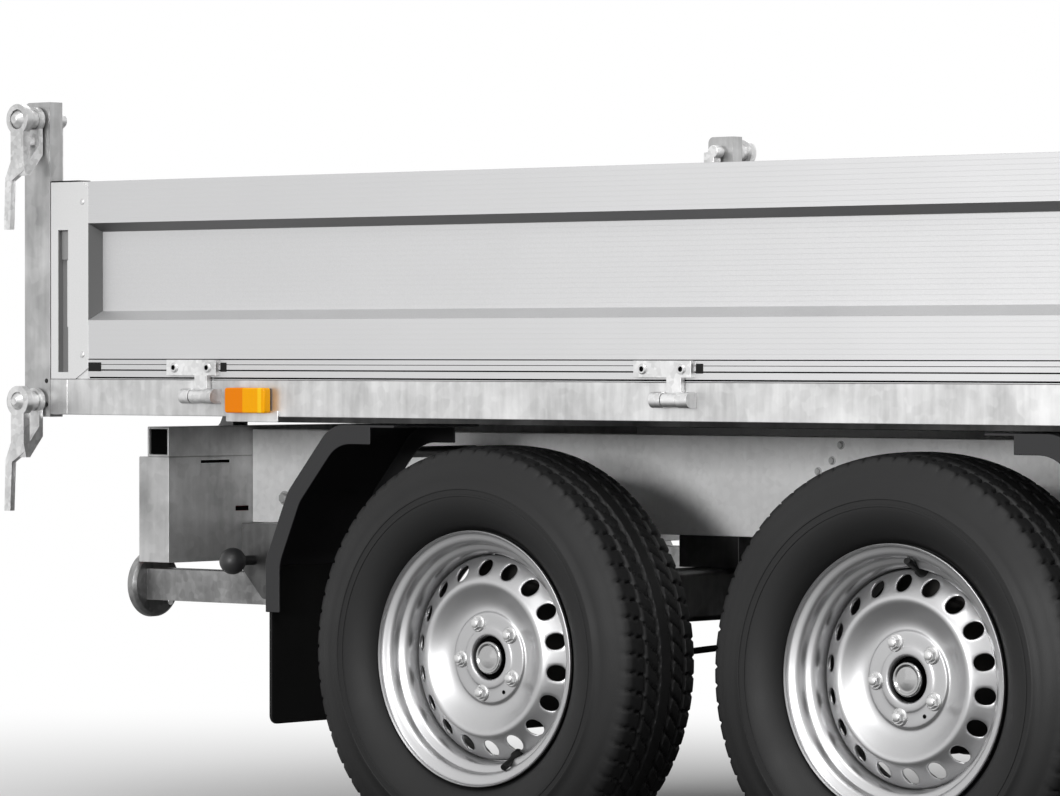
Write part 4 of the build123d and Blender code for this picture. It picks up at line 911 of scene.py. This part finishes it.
        half = self.tread_width / 2
        depth = np.zeros(np.broadcast(across, turn).shape)
        for middle in (-0.046, -0.0155, 0.0155, 0.046):
            wave = 0.0012 * np.sin(turn * self.pitches) if abs(middle) < 0.02 else 0.0
            depth = np.maximum(depth, 0.0065 * dip(across - middle - wave, 0.0038))
        step = 2 * np.pi / self.pitches
        size = np.abs(across)
        slant = np.where(size > 0.046, 0.25 * (size - 0.046), 0.9 * (size - 0.0155)) / self.radius
        phase = (turn + np.sign(across) * slant) % step
        cut = dip((phase - step / 2) * self.radius, 0.0024)
        shoulder = 0.005 * cut * (size > 0.048) * (size < half + 0.012)
        middle_cut = 0.005 * cut * (size > 0.019) * (size < 0.044)
        return np.maximum(depth, np.maximum(shoulder, middle_cut))

    def tyre(self) -> Shape:
        """The tyre's ring, its radius lowered by the tread's depth."""
        half, tread = self.tyre_width / 2, self.tread_width / 2
        bead = self.rim_width / 2 - 0.0128
        side = np.array([
            (bead - 0.004, 0.1786), (bead, 0.183), (bead, 0.1955), (bead + 0.004, 0.1985), (bead + 0.012, 0.2025),
            (bead + 0.021, 0.2115), (half - 0.008, 0.226), (half - 0.0015, 0.243),
            (half - 0.0012, 0.2480), (half - 0.0002, 0.2486), (half - 0.0002, 0.2510), (half - 0.0011, 0.2516),
            (half - 0.0009, 0.2585), (half, 0.2592), (half - 0.0002, 0.2622), (half - 0.0012, 0.2630),
            (half - 0.0022, 0.276), (half - 0.0068, 0.292), (half - 0.0095, 0.2965), (half - 0.0115, 0.302),
            (half - 0.0145, 0.3105), (tread + 0.0015, 0.3178),
        ])
        crown = np.linspace(tread - 0.003, -tread + 0.003, 58)
        top = np.stack([crown, self.radius - 0.0062 * (np.abs(crown) / tread) ** 2.6], -1)
        line = np.concatenate([side, top, (side * [-1, 1])[::-1]])
        turn = np.linspace(0, 2 * np.pi, self.facets, endpoint=False)[:, None]
        across = np.broadcast_to(line[None, :, 0], (self.facets, len(line)))
        depth = self.tread_depth(across, np.broadcast_to(turn, across.shape))
        cut = (line[:, 1] > 0.308)[None, :]
        radius = line[None, :, 1] - depth * cut
        points = np.stack([radius * np.sin(turn), across - self.rim_width / 2, radius * np.cos(turn)], -1)
        return grid_surface(points, close_u=True, close_v=True)

    def build(self, finishes: Finishes) -> None:
        """Make every wheel and tyre."""
        rim, disc, hub, cap = self.rim(), self.disc(), self.hub(), self.cap()
        bolts, tyre, shield = self.bolts(), self.tyre(), self.shield()
        # painted shade: near-black discs inside the hub's bore and in a small hole of the bolt land
        hole = spun(np.array([(0.0003, 0.0032), (0.0004, 0.0)]), 16).moved(self.polar(0.0597, -59.4, self.land))
        bore = Shape.joined([spun(np.array([(-0.0425, 0.0338), (-0.0548, 0.0335), (-0.0550, 0.0)]), 48), hole])
        half = self.spacing / 2
        for row, hub_x, valve_at in (
            ("rear", AXLES_MIDDLE_X - half, -71.0), ("front", AXLES_MIDDLE_X + half, 83.0),
        ):
            for side in Side:
                key = f"{row}_{side.word}"
                body = f"wheel_{key}"
                put(f"rim_{key}", self.place(rim, hub_x, side), finishes["wheel"], body, (body,), 40)
                plate = put(f"disc_{key}", self.place(disc, hub_x, side), finishes["wheel"], body,
                            (), 40)
                wall = plate.modifiers.new("wall", "SOLIDIFY")
                wall.thickness = 0.0045
                wall.offset = -1.0
                for name, shape, finish, carrier, slot in (
                    ("hub", hub, finishes["drum"], body, "black_paint"),
                    ("bore", bore, finishes["void"], body, "black_paint"),
                    # the dark arc behind the upper holes is painted shade
                    ("shield", shield, finishes["drum"], "chassis", "black_paint"),
                    ("cap", cap, finishes["chrome"], body, "wheel_silver"),
                    ("bolts", bolts, finishes["bolt"], body, "wheel_silver"),
                    ("valve", self.valve(valve_at), finishes["rubber"], body, "tyre_rubber"),
                ):
                    put(f"{name}_{key}", self.place(shape, hub_x, side), finish, carrier)
                put(f"tread_{key}", self.place(tyre, hub_x, side), finishes["tyre"], body,
                    (f"tyre_{key}",), 50)


@dataclass
class Boards:
    """Ribbed aluminium boards: two sides, the tailgate and the headboard.

    Args:
        pitch: Distance between ribs.
        depth: Depth of the fine grooves.
        grooves: Height over a side board's lower edge and width of each deep groove.
        recess: Depth of the long recess.
        full: Height of the board whose heights the section gives.
        slot: Start and end of an end block's slot, from the block's end.
        latch: A latch's span along X from that end, out from the face and up from the board's edge.
        strip: The same of the bright strip under it.
        stopper: The same of the seal in a deep groove, from the board's end.
        hinge_stopper: The same of the seal beside a hinge, from the hinge's middle.
        block: Length of an end block.
    """

    pitch: float = 0.0074
    depth: float = 0.00012
    grooves: tuple = ((0.0010, 0.0026), (0.0135, 0.0022), (0.0232, 0.0010), (0.0312, 0.0018))
    recess: float = 0.019
    full: float = 0.3215
    slot: tuple = (0.016, 0.041)
    latch: tuple = ((0.019, 0.038), (-0.0115, -0.006), (0.195, 0.241))
    strip: tuple = ((0.033, 0.038), (-0.0115, -0.005), (0.085, 0.194))
    stopper: tuple = ((0.0005, 0.030), (-0.008, 0.0004), (0.0125, 0.027))
    hinge_stopper: tuple = ((0.0575, 0.071), (-0.008, 0.0004), (0.0125, 0.027))
    block: float = 0.062

    def ribbed(self, low: float, high: float, out: float, sign: float) -> np.ndarray:
        """An upright run with small V grooves, from low to high at a distance out."""
        count = max(int((high - low) / self.pitch), 1)
        pitch = (high - low) / count
        base = low + pitch * np.arange(count)
        rows = np.stack([
            np.stack([np.full(count, out), base], -1),
            np.stack([np.full(count, out), base + pitch * 0.86], -1),
            np.stack([np.full(count, out - sign * self.depth), base + pitch * 0.93], -1),
        ], 1).reshape(-1, 2)
        return np.concatenate([rows, [[out, high]]])

    def section(self, out: float, inner: float, low: float, high: float, grooved: bool) -> np.ndarray:
        """A board's closed section of (distance, height): boxes, slants, recess and grooves.

        Args:
            out: Distance of the outer face.
            inner: Distance of the inner face.
            low: Height of the lower edge.
            high: Height of the upper edge.
            grooved: Whether it has the deep grooves.

        Returns:
            Rows of distance and height.
        """
        sign = 1.0 if out > inner else -1.0
        deep = out - sign * self.recess
        scale = (high - low) / self.full
        start = low
        runs = []
        if grooved:
            for height, width in self.grooves:
                z = low + height
                back = out - sign * 0.004
                runs.append(np.array([
                    (out, start), (out, z), (back, z + 0.0001), (back, z + width - 0.0001), (out, z + width),
                ]))
                start = z + width
        runs.append(self.ribbed(start, low + 0.0955 * scale, out, sign))
        runs.append(self.ribbed(low + 0.1105 * scale, low + 0.2395 * scale, deep, sign))
        runs.append(self.ribbed(low + 0.2535 * scale, high, out, sign))
        runs.append(np.array([(inner, high), (inner, low)]))
        return np.concatenate(runs)

    def build(self, finishes: Finishes) -> None:
        """Make the two side boards and dress their fittings."""
        for side in Side:
            name = f"side_board_{side.word}"
            low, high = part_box(name)
            out, inner = (high.y, low.y) if side is Side.LEFT else (low.y, high.y)
            outline = self.section(out, inner, low.z, high.z, True)
            board = put(f"{name}_profile", prism(outline, Axis.X, low.x, high.x), finishes["alu"], name,
                        (name,), 12)
            outer = abs(out)
            # painted shade: the faces inside the deep grooves get the near-black finish
            tinted(board, finishes["void"], (-PAST_ENDS, outer - 0.006, low.z + 0.0009),
                   (PAST_ENDS, outer - 0.0004, low.z + 0.036))
            scale = (high.z - low.z) / self.full
            # painted shade: the downward slant under the top box gets the darker copy of the aluminium
            tinted(board, finishes["alu_shade"], (-PAST_ENDS, outer - self.recess + 0.001, low.z + 0.2397 * scale),
                   (PAST_ENDS, outer - 0.0006, low.z + 0.2533 * scale))
            self.ends(finishes, side, outer, low, high)

    def ends(self, finishes: Finishes, side: Side, outer: float, low: Vector, high: Vector) -> None:
        """Dress the end blocks of a side board: painted shade in the slots and reveals, seals and groove plugs.

        Args:
            finishes: The materials.
            side: The board's side.
            outer: Distance of the board's face from the middle plane.
            low: Lowest corner of the board.
            high: Highest corner of the board.
        """
        name = f"side_board_{side.word}"
        node = f"side_board_fittings_{side.word}"
        blocks = refined(node, finishes["alu_smooth"], 0.0008, shifts=(Fasteners.shift,))
        first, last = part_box(node)

        def bar(end: float, inwards: float, spans: tuple) -> Shape:
            """A block by its spans along X from an end, out from the face and up from the board's edge."""
            along, depth, rise = spans
            near, far = sorted(end + inwards * step for step in along)
            return rounded_box((near, outer + depth[0], low.z + rise[0]), (far, outer + depth[1], low.z + rise[1]),
                               0.001, Axis.Y)

        black, plates, strips = [], [], []
        for end, inwards in ((first.x, 1.0), (last.x, -1.0)):
            near, far = sorted(end + inwards * step for step in self.slot)
            # painted shade: the slot's faces get a darker tint
            tinted(blocks, finishes["slot"], (near, 0.85, low.z), (far, outer - 0.0006, low.z + 0.246))
            plates.append(bar(end, inwards, self.latch))
            strips.append(bar(end, inwards, self.strip))
            start, stop = sorted((end, end + inwards * self.block))
            black.append(prism(np.array([(start, outer - 0.03), (stop, outer - 0.03), (stop, outer - 0.001),
                                         (start, outer - 0.001)]), Axis.Z, high.z + 0.0002, high.z + 0.0024))
            black.append(bar(low.x if inwards > 0 else high.x, inwards, self.stopper))
        black += [bar(x, 1.0, self.hinge_stopper) for x in Fasteners.hinge_x]
        tinted(blocks, finishes["forging"], (-PAST_ENDS, outer + 0.0004, low.z - 0.1),
               (PAST_ENDS, outer + 0.1, low.z + 0.05))
        # painted shade: the slanted reveal faces of the recess get a dark tint
        tinted(blocks, finishes["reveal"], (-PAST_ENDS, 0.85, low.z + 0.09),
               (PAST_ENDS, outer + 0.001, low.z + 0.26), True)
        for word, shapes, finish, slot in (
            ("seals", black, finishes["rubber"], "black_rubber"),
            ("latches", plates, finishes["latch"], "galvanised_steel"),
            ("strips", strips, finishes["alu_smooth"], "anodised_aluminium"),
        ):
            put(f"{name}_{word}", Shape.joined(shapes).turned(side.mirror), finish, name)

    def cross(self, finishes: Finishes) -> None:
        """Make the tailgate's panel and the headboard."""
        for name, out_first, body in (("tailgate_panel", True, "tailgate"), ("headboard", False, "bed")):
            low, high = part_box(name)
            out, inner = (low.x, high.x) if out_first else (high.x, low.x)
            outline = self.section(out, inner, low.z, high.z, False)
            put(f"{name}_profile", prism(outline, Axis.Y, low.y, high.y), finishes["alu"], body,
                (name,), 12)


@dataclass
class Steelwork:
    """CAD nodes whose form is right and which get round edges and their finish.

    Args:
        groups: Nodes with their finish and the width of their round edges.
        board_cuts: Each cut of the lamp board: near and far edge from its end, bottom and top.
    """

    groups: tuple = (
        (("bed_side_rails", "bed_end_rails"), "zinc_rail", 0.0015),
        (("rear_cross_tube", "lamp_board", "drawbar_arms", "jockey_outer_tube", "jockey_inner_tube",
          "jockey_fork", "overrun_housing", "coupling_head"), "zinc", 0.0015),
        (("rear_posts", "front_posts"), "zinc_post", 0.0035),
        (("support_leg_left", "support_leg_right"), "zinc_leg", 0.0015),
        # these underbody parts get the near-black copy of the zinc as painted shade
        (("axle_beams", "swing_arms", "chassis_cross_tubes", "cylinder_cradle", "bed_cross_beams",
          "bed_sub_beams", "bed_lugs", "tip_hinge_ears", "brake_linkage", "outrigger_brackets"),
         "zinc_dark", 0.001),
        (("upper_lock_levers", "lower_lock_levers", "tailgate_arms"), "forging", 0.0042),
        # the side members get the brightened copy of the zinc as painted light
        (("side_members",), "zinc_member", 0.0015),
        (("bed_floor",), "zinc_floor", 0.0015),
    )
    board_cuts: tuple = ((0.160, 0.192, 0.083, 0.091), (0.077, 0.146, 0.164, 0.170))

    def build(self, finishes: Finishes) -> None:
        """Refine every node of the steelwork and put painted shade, black plates, in the open tube's ends and behind
        the lamp board's cuts.
        """
        for nodes, finish, bevel in self.groups:
            for node in nodes:
                refined(node, finishes[finish], bevel)
        refined("rail_hinge_barrels", finishes["forging"], shifts=(Fasteners.shift,))
        # near-black plates just inside the open ends of the tube: painted shade for its dark inside
        low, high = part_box("rear_cross_tube")
        shade_inset = high.y - 0.004
        plugs = [
            rounded_box((low.x + 0.006, side.value * shade_inset - 0.001, low.z + 0.0045),
                        (high.x - 0.006, side.value * shade_inset + 0.001, high.z - 0.0045), 0.002, Axis.Y)
            for side in Side
        ]
        # near-black plates behind the lamp board's cuts: painted shade in place of what shows through them
        low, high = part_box("lamp_board")
        for near, far, bottom, top in self.board_cuts:
            plate = rounded_box((high.x - 0.0022, high.y - far + 0.0002, low.z + bottom + 0.0002),
                                (high.x - 0.0012, high.y - near - 0.0002, low.z + top - 0.0002), 0.001, Axis.X)
            plugs.append(both(plate))
        put("rear_tube_shade", Shape.joined(plugs), finishes["void"], "chassis")


@dataclass
class Trim:
    """Lamps, plastic, rubber and the cylinder.

    Args:
        plain: Nodes with their finish and material slot.
        lamp_x: Places of the marker lamps along X in metres.
        lamp_size: Length, depth and height of a lens.
        lamp_y: Distance of a lens's back from the middle plane.
        lamp_z: Height of a lens's lower edge.
        plate: Span of the plate behind a lamp along X from its place, and its span in height.
        base: The same of the lamp's black base.
        plate_y: Distances of their back and front from the middle plane.
    """

    plain: tuple = (
        ("mudguards", "guard", "black_plastic"), ("mud_flaps", "rubber", "black_rubber"),
        ("leg_lock_knobs", "plastic", "black_plastic"), ("overrun_gaiter", "rubber", "black_rubber"),
        ("handbrake_lever", "paint", "black_paint"), ("power_pack", "plastic", "black_plastic"),
        ("jockey_wheel", "rubber", "black_rubber"), ("brake_cables", "rubber", "black_rubber"),
        ("bed_rest_pads", "rubber", "black_rubber"), ("cylinder_barrel", "paint", "black_paint"),
        ("cylinder_stage_1", "steel", "bare_steel"), ("cylinder_stage_2", "steel", "bare_steel"),
        ("cylinder_stage_3", "steel", "bare_steel"), ("cylinder_stage_4", "steel", "bare_steel"),
        ("tail_lamps", "red", "red_lens"),
    )
    lamp_x: tuple = (-1.761, 0.431)
    lamp_size: tuple = (0.088, 0.0148, 0.040)
    lamp_y: float = 0.9131
    lamp_z: float = 0.696
    plate: tuple = ((-0.055, 0.059), (0.682, 0.700))
    base: tuple = ((-0.042, 0.042), (0.7003, 0.735))
    plate_y: tuple = (0.9101, 0.913)

    def build(self, finishes: Finishes) -> None:
        """Refine the plain nodes and make the side marker lamps."""
        for node, finish, slot in self.plain:
            refined(node, finishes[finish], 0.0012)
        self.markers(finishes)

    def markers(self, finishes: Finishes) -> None:
        """Amber marker lamps: a plate behind a two-part lens with a bright band."""
        length, depth, height = self.lamp_size
        plates, bases = [], []
        for index, x in enumerate(self.lamp_x):
            amber = Lens(f"amber_lens_{index}", (0.62, 0.165, 0.0), (0.68, 0.29, 0.0), (0.72, 0.42, 0.01),
                         x - 0.004, x + 0.033).make()
            lens = rounded_box((x - length / 2, self.lamp_y, self.lamp_z),
                               (x + length / 2, self.lamp_y + depth, self.lamp_z + height), 0.004, Axis.Y)
            for shapes, (along, rise) in ((plates, self.plate), (bases, self.base)):
                low, high = zip((x + along[0], x + along[1]), self.plate_y, rise)
                shapes.append(both(rounded_box(low, high, 0.002, Axis.Y)))
            put(f"marker_lens_{index}", both(lens), amber, "bed",
                ("side_marker_lamps",) if index == 0 else (), 30, 0.0025)
        put("marker_plates", Shape.joined(plates), finishes["zinc_rail"], "bed", (), 30, 0.0008)
        put("marker_bases", Shape.joined(bases), finishes["plastic"], "bed", (), 30, 0.0008)


@dataclass
class Fasteners:
    """Bolts and rivets that hold plates to what carries them.

    Lengths are in metres.

    Args:
        hinge_x: Places of the rail hinges along X.
        shift: Low and high end of a hinge's span in the solids, and how far its pieces move along X.
        hinge_bolt: Size of a hinge bolt: radius and height.
        hinge_bolt_x: How far the bolts of a hinge stand from its middle.
        hinge_bolt_y: Distance of their seats from the middle plane.
        hinge_bolt_z: Their height.
        rivet_x: How far a rivet stands past the board's end.
        rivet_z: Heights of the rivets.
        face: Distance of a side board's face from the middle plane.
        member_face: Distance of a side member's outer face.
        member_bolts: Place along X, height and radius of each bolt in a side member.
    """

    hinge_x: ClassVar[tuple] = (-1.888, -0.915, 0.058, 0.540)
    shift: ClassVar[tuple] = (-0.52, -0.34, 0.491)
    hinge_bolt: tuple = (0.008, 0.003)
    hinge_bolt_x: float = 0.037
    hinge_bolt_y: float = 0.919
    hinge_bolt_z: float = 0.7675
    rivet_x: float = 0.014
    rivet_z: tuple = (0.788, 1.037)
    face: float = 0.910
    member_face: float = 0.510
    member_bolts: tuple = (
        (-2.070, 0.547, 0.009), (-2.030, 0.547, 0.009), (-0.896, 0.650, 0.005), (-0.913, 0.626, 0.005),
        (-0.940, 0.609, 0.005),
    )

    def build(self, finishes: Finishes) -> None:
        """Make the bolts of each body."""
        for side in Side:
            name = f"side_board_{side.word}"
            bolts, sockets = [], []
            for x in self.hinge_x:
                for beside in (-self.hinge_bolt_x, self.hinge_bolt_x):
                    at = (x + beside, side.value * self.hinge_bolt_y, self.hinge_bolt_z)
                    bolts.append(socket_bolt(*self.hinge_bolt).turned(side.mirror).moved(at))
                    sockets.append(socket(*self.hinge_bolt).turned(side.mirror).moved(at))
            low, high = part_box(name)
            rivet = dome(0.005, 0.0022).turned(side.mirror)
            bolts += [rivet.moved((x, side.value * self.face, z))
                      for x in (low.x - self.rivet_x, high.x + self.rivet_x) for z in self.rivet_z]
            put(f"{name}_bolts", Shape.joined(bolts), finishes["bolt"], name)
            # painted shade: the socket bottoms are near-black
            put(f"{name}_sockets", Shape.joined(sockets), finishes["void"], name)
        bolts = [hex_bolt(radius, radius * 0.9).turned(side.mirror).moved((x, side.value * self.member_face, z))
                 for side in Side for x, z, radius in self.member_bolts]
        put("member_bolts", Shape.joined(bolts), finishes["zinc"], "chassis")


@dataclass
class Studio:
    """Pale floor, white surroundings, soft lamps and the camera of the photograph.

    Args:
        eye: The camera's place in metres.
        yaw: How far it looks to the left of +Y, in radians.
        pitch: How far it looks down, in radians.
        focal: Focal length in pixels of an image of the stated width.
        width: The image's width in pixels.
        sensor: The sensor's width in millimetres.
        lamps: Name, place, aim, size in metres and power in watts of each lamp.
    """

    eye: tuple = (3.8993, -6.7784, 0.7954)
    yaw: float = 0.7134
    pitch: float = 0.0093
    focal: float = 5147.83
    width: int = 1060
    sensor: float = 36.0
    lamps: tuple = (
        ("key", (1.5, -5.0, 7.0), (-0.8, 0.0, 0.6), 3.0, 220.0),
        ("low", (0.1, -7.5, 1.6), (-0.6, -0.5, 0.5), 1.2, 230.0),
        ("side", (-2.4, -5.0, 1.3), (0.8, -0.9, 0.7), 2.5, 5.0),
        ("back", (-5.0, 5.0, 6.0), (-0.5, 0.0, 0.7), 4.0, 120.0),
    )

    def camera(self) -> None:
        """Set up the camera from the solved place, angles and focal length."""
        data = bpy.data.cameras.new("camera")
        data.sensor_fit = "HORIZONTAL"
        data.sensor_width = self.sensor
        data.lens = self.focal / self.width * self.sensor
        data.clip_end = 200.0
        camera = placed("camera", data)
        look = Vector((
            -np.sin(self.yaw) * np.cos(self.pitch), np.cos(self.yaw) * np.cos(self.pitch), -np.sin(self.pitch),
        ))
        camera.rotation_euler = look.to_track_quat("-Z", "Y").to_euler()
        camera.location = self.eye
        bpy.context.scene.camera = camera

    @staticmethod
    def seen(tree: Tree, rays: bpy.types.bpy_prop_collection) -> bpy.types.NodeSocket:
        """One where a camera, glossy or transmission ray looks, and nought for any other ray.

        Args:
            tree: The tree.
            rays: Sockets of its Light Path node.

        Returns:
            The result's socket.
        """
        direct = tree.math("MAXIMUM", rays["Is Camera Ray"], rays["Is Glossy Ray"])
        return tree.math("MAXIMUM", direct, rays["Is Transmission Ray"])

    def floor(self) -> None:
        """A wide pale floor that fades into the white surroundings away from the trailer."""
        mesh = bpy.data.meshes.new("floor")
        mesh.from_pydata([(-60, -60, 0), (60, -60, 0), (60, 60, 0), (-60, 60, 0)], [], [(0, 1, 2, 3)])
        floor = placed("floor", mesh)
        material, shader, tree = blank_material("floor")
        where = tree.add("TexCoord", {}, "Object")
        squashed = tree.add("Mapping", {"Vector": where, "Scale": (0.26, 0.42, 1.0)}, "Vector")
        away = tree.add("VectorMath", {0: squashed}, "Value", operation="LENGTH")
        fade = tree.add("MapRange", {"Value": away, "From Min": 0.45, "From Max": 1.25}, "Result",
                        interpolation_type="SMOOTHSTEP")
        rays = tree.node("LightPath", {}).outputs
        tone = tree.add("MixRGB", {"Fac": rays["Is Camera Ray"], "Color1": (0.07, 0.07, 0.07, 1),
                                   "Color2": (0.55, 0.55, 0.55, 1)}, "Color")
        tree.feed(shader, {"Base Color": tone, "Roughness": 0.9, "Specular IOR Level": 0.0})
        mix = tree.add("MixShader", {
            "Fac": tree.math("MULTIPLY", fade, self.seen(tree, rays)),
            1: shader.outputs["BSDF"], 2: tree.add("Emission", {}),
        })
        tree.feed(tree.nodes["Material Output"], {"Surface": mix})
        mesh.materials.append(material)

    def light(self) -> None:
        """White surroundings for what the camera and glossy rays see, a plain world light and the lamps."""
        world = bpy.data.worlds.new("surroundings")
        tree = Tree.of(world)
        white = (1, 1, 1, 1)
        light = tree.nodes["Background"]
        tree.feed(light, {"Color": white, "Strength": 0.62})
        rays = tree.node("LightPath", {}).outputs
        mix = tree.add("MixShader", {
            "Fac": self.seen(tree, rays), 1: light.outputs["Background"],
            2: tree.add("Background", {"Color": white, "Strength": 1.0}),
        })
        tree.feed(tree.nodes["World Output"], {"Surface": mix})
        bpy.context.scene.world = world
        for name, place, aim, size, power in self.lamps:
            lamp = bpy.data.lights.new(name, "AREA")
            lamp.size = size
            lamp.energy = power
            holder = placed(name, lamp)
            holder.location = place
            holder.rotation_euler = (Vector(aim) - Vector(place)).to_track_quat("-Z", "Y").to_euler()

    def build(self) -> None:
        """Set up camera, floor, light and view."""
        self.camera()
        self.floor()
        self.light()
        bpy.context.scene.view_settings.view_transform = "Standard"


def main() -> None:
    """Build the studio and every sub-assembly in order."""
    logging.basicConfig(level=logging.INFO, format="%(message)s")
    Studio().build()
    finishes = Finishes()
    Wheels().build(finishes)
    boards = Boards()
    boards.build(finishes)
    boards.cross(finishes)
    Steelwork().build(finishes)
    Trim().build(finishes)
    Fasteners().build(finishes)


if __name__ == "__main__":
    main()
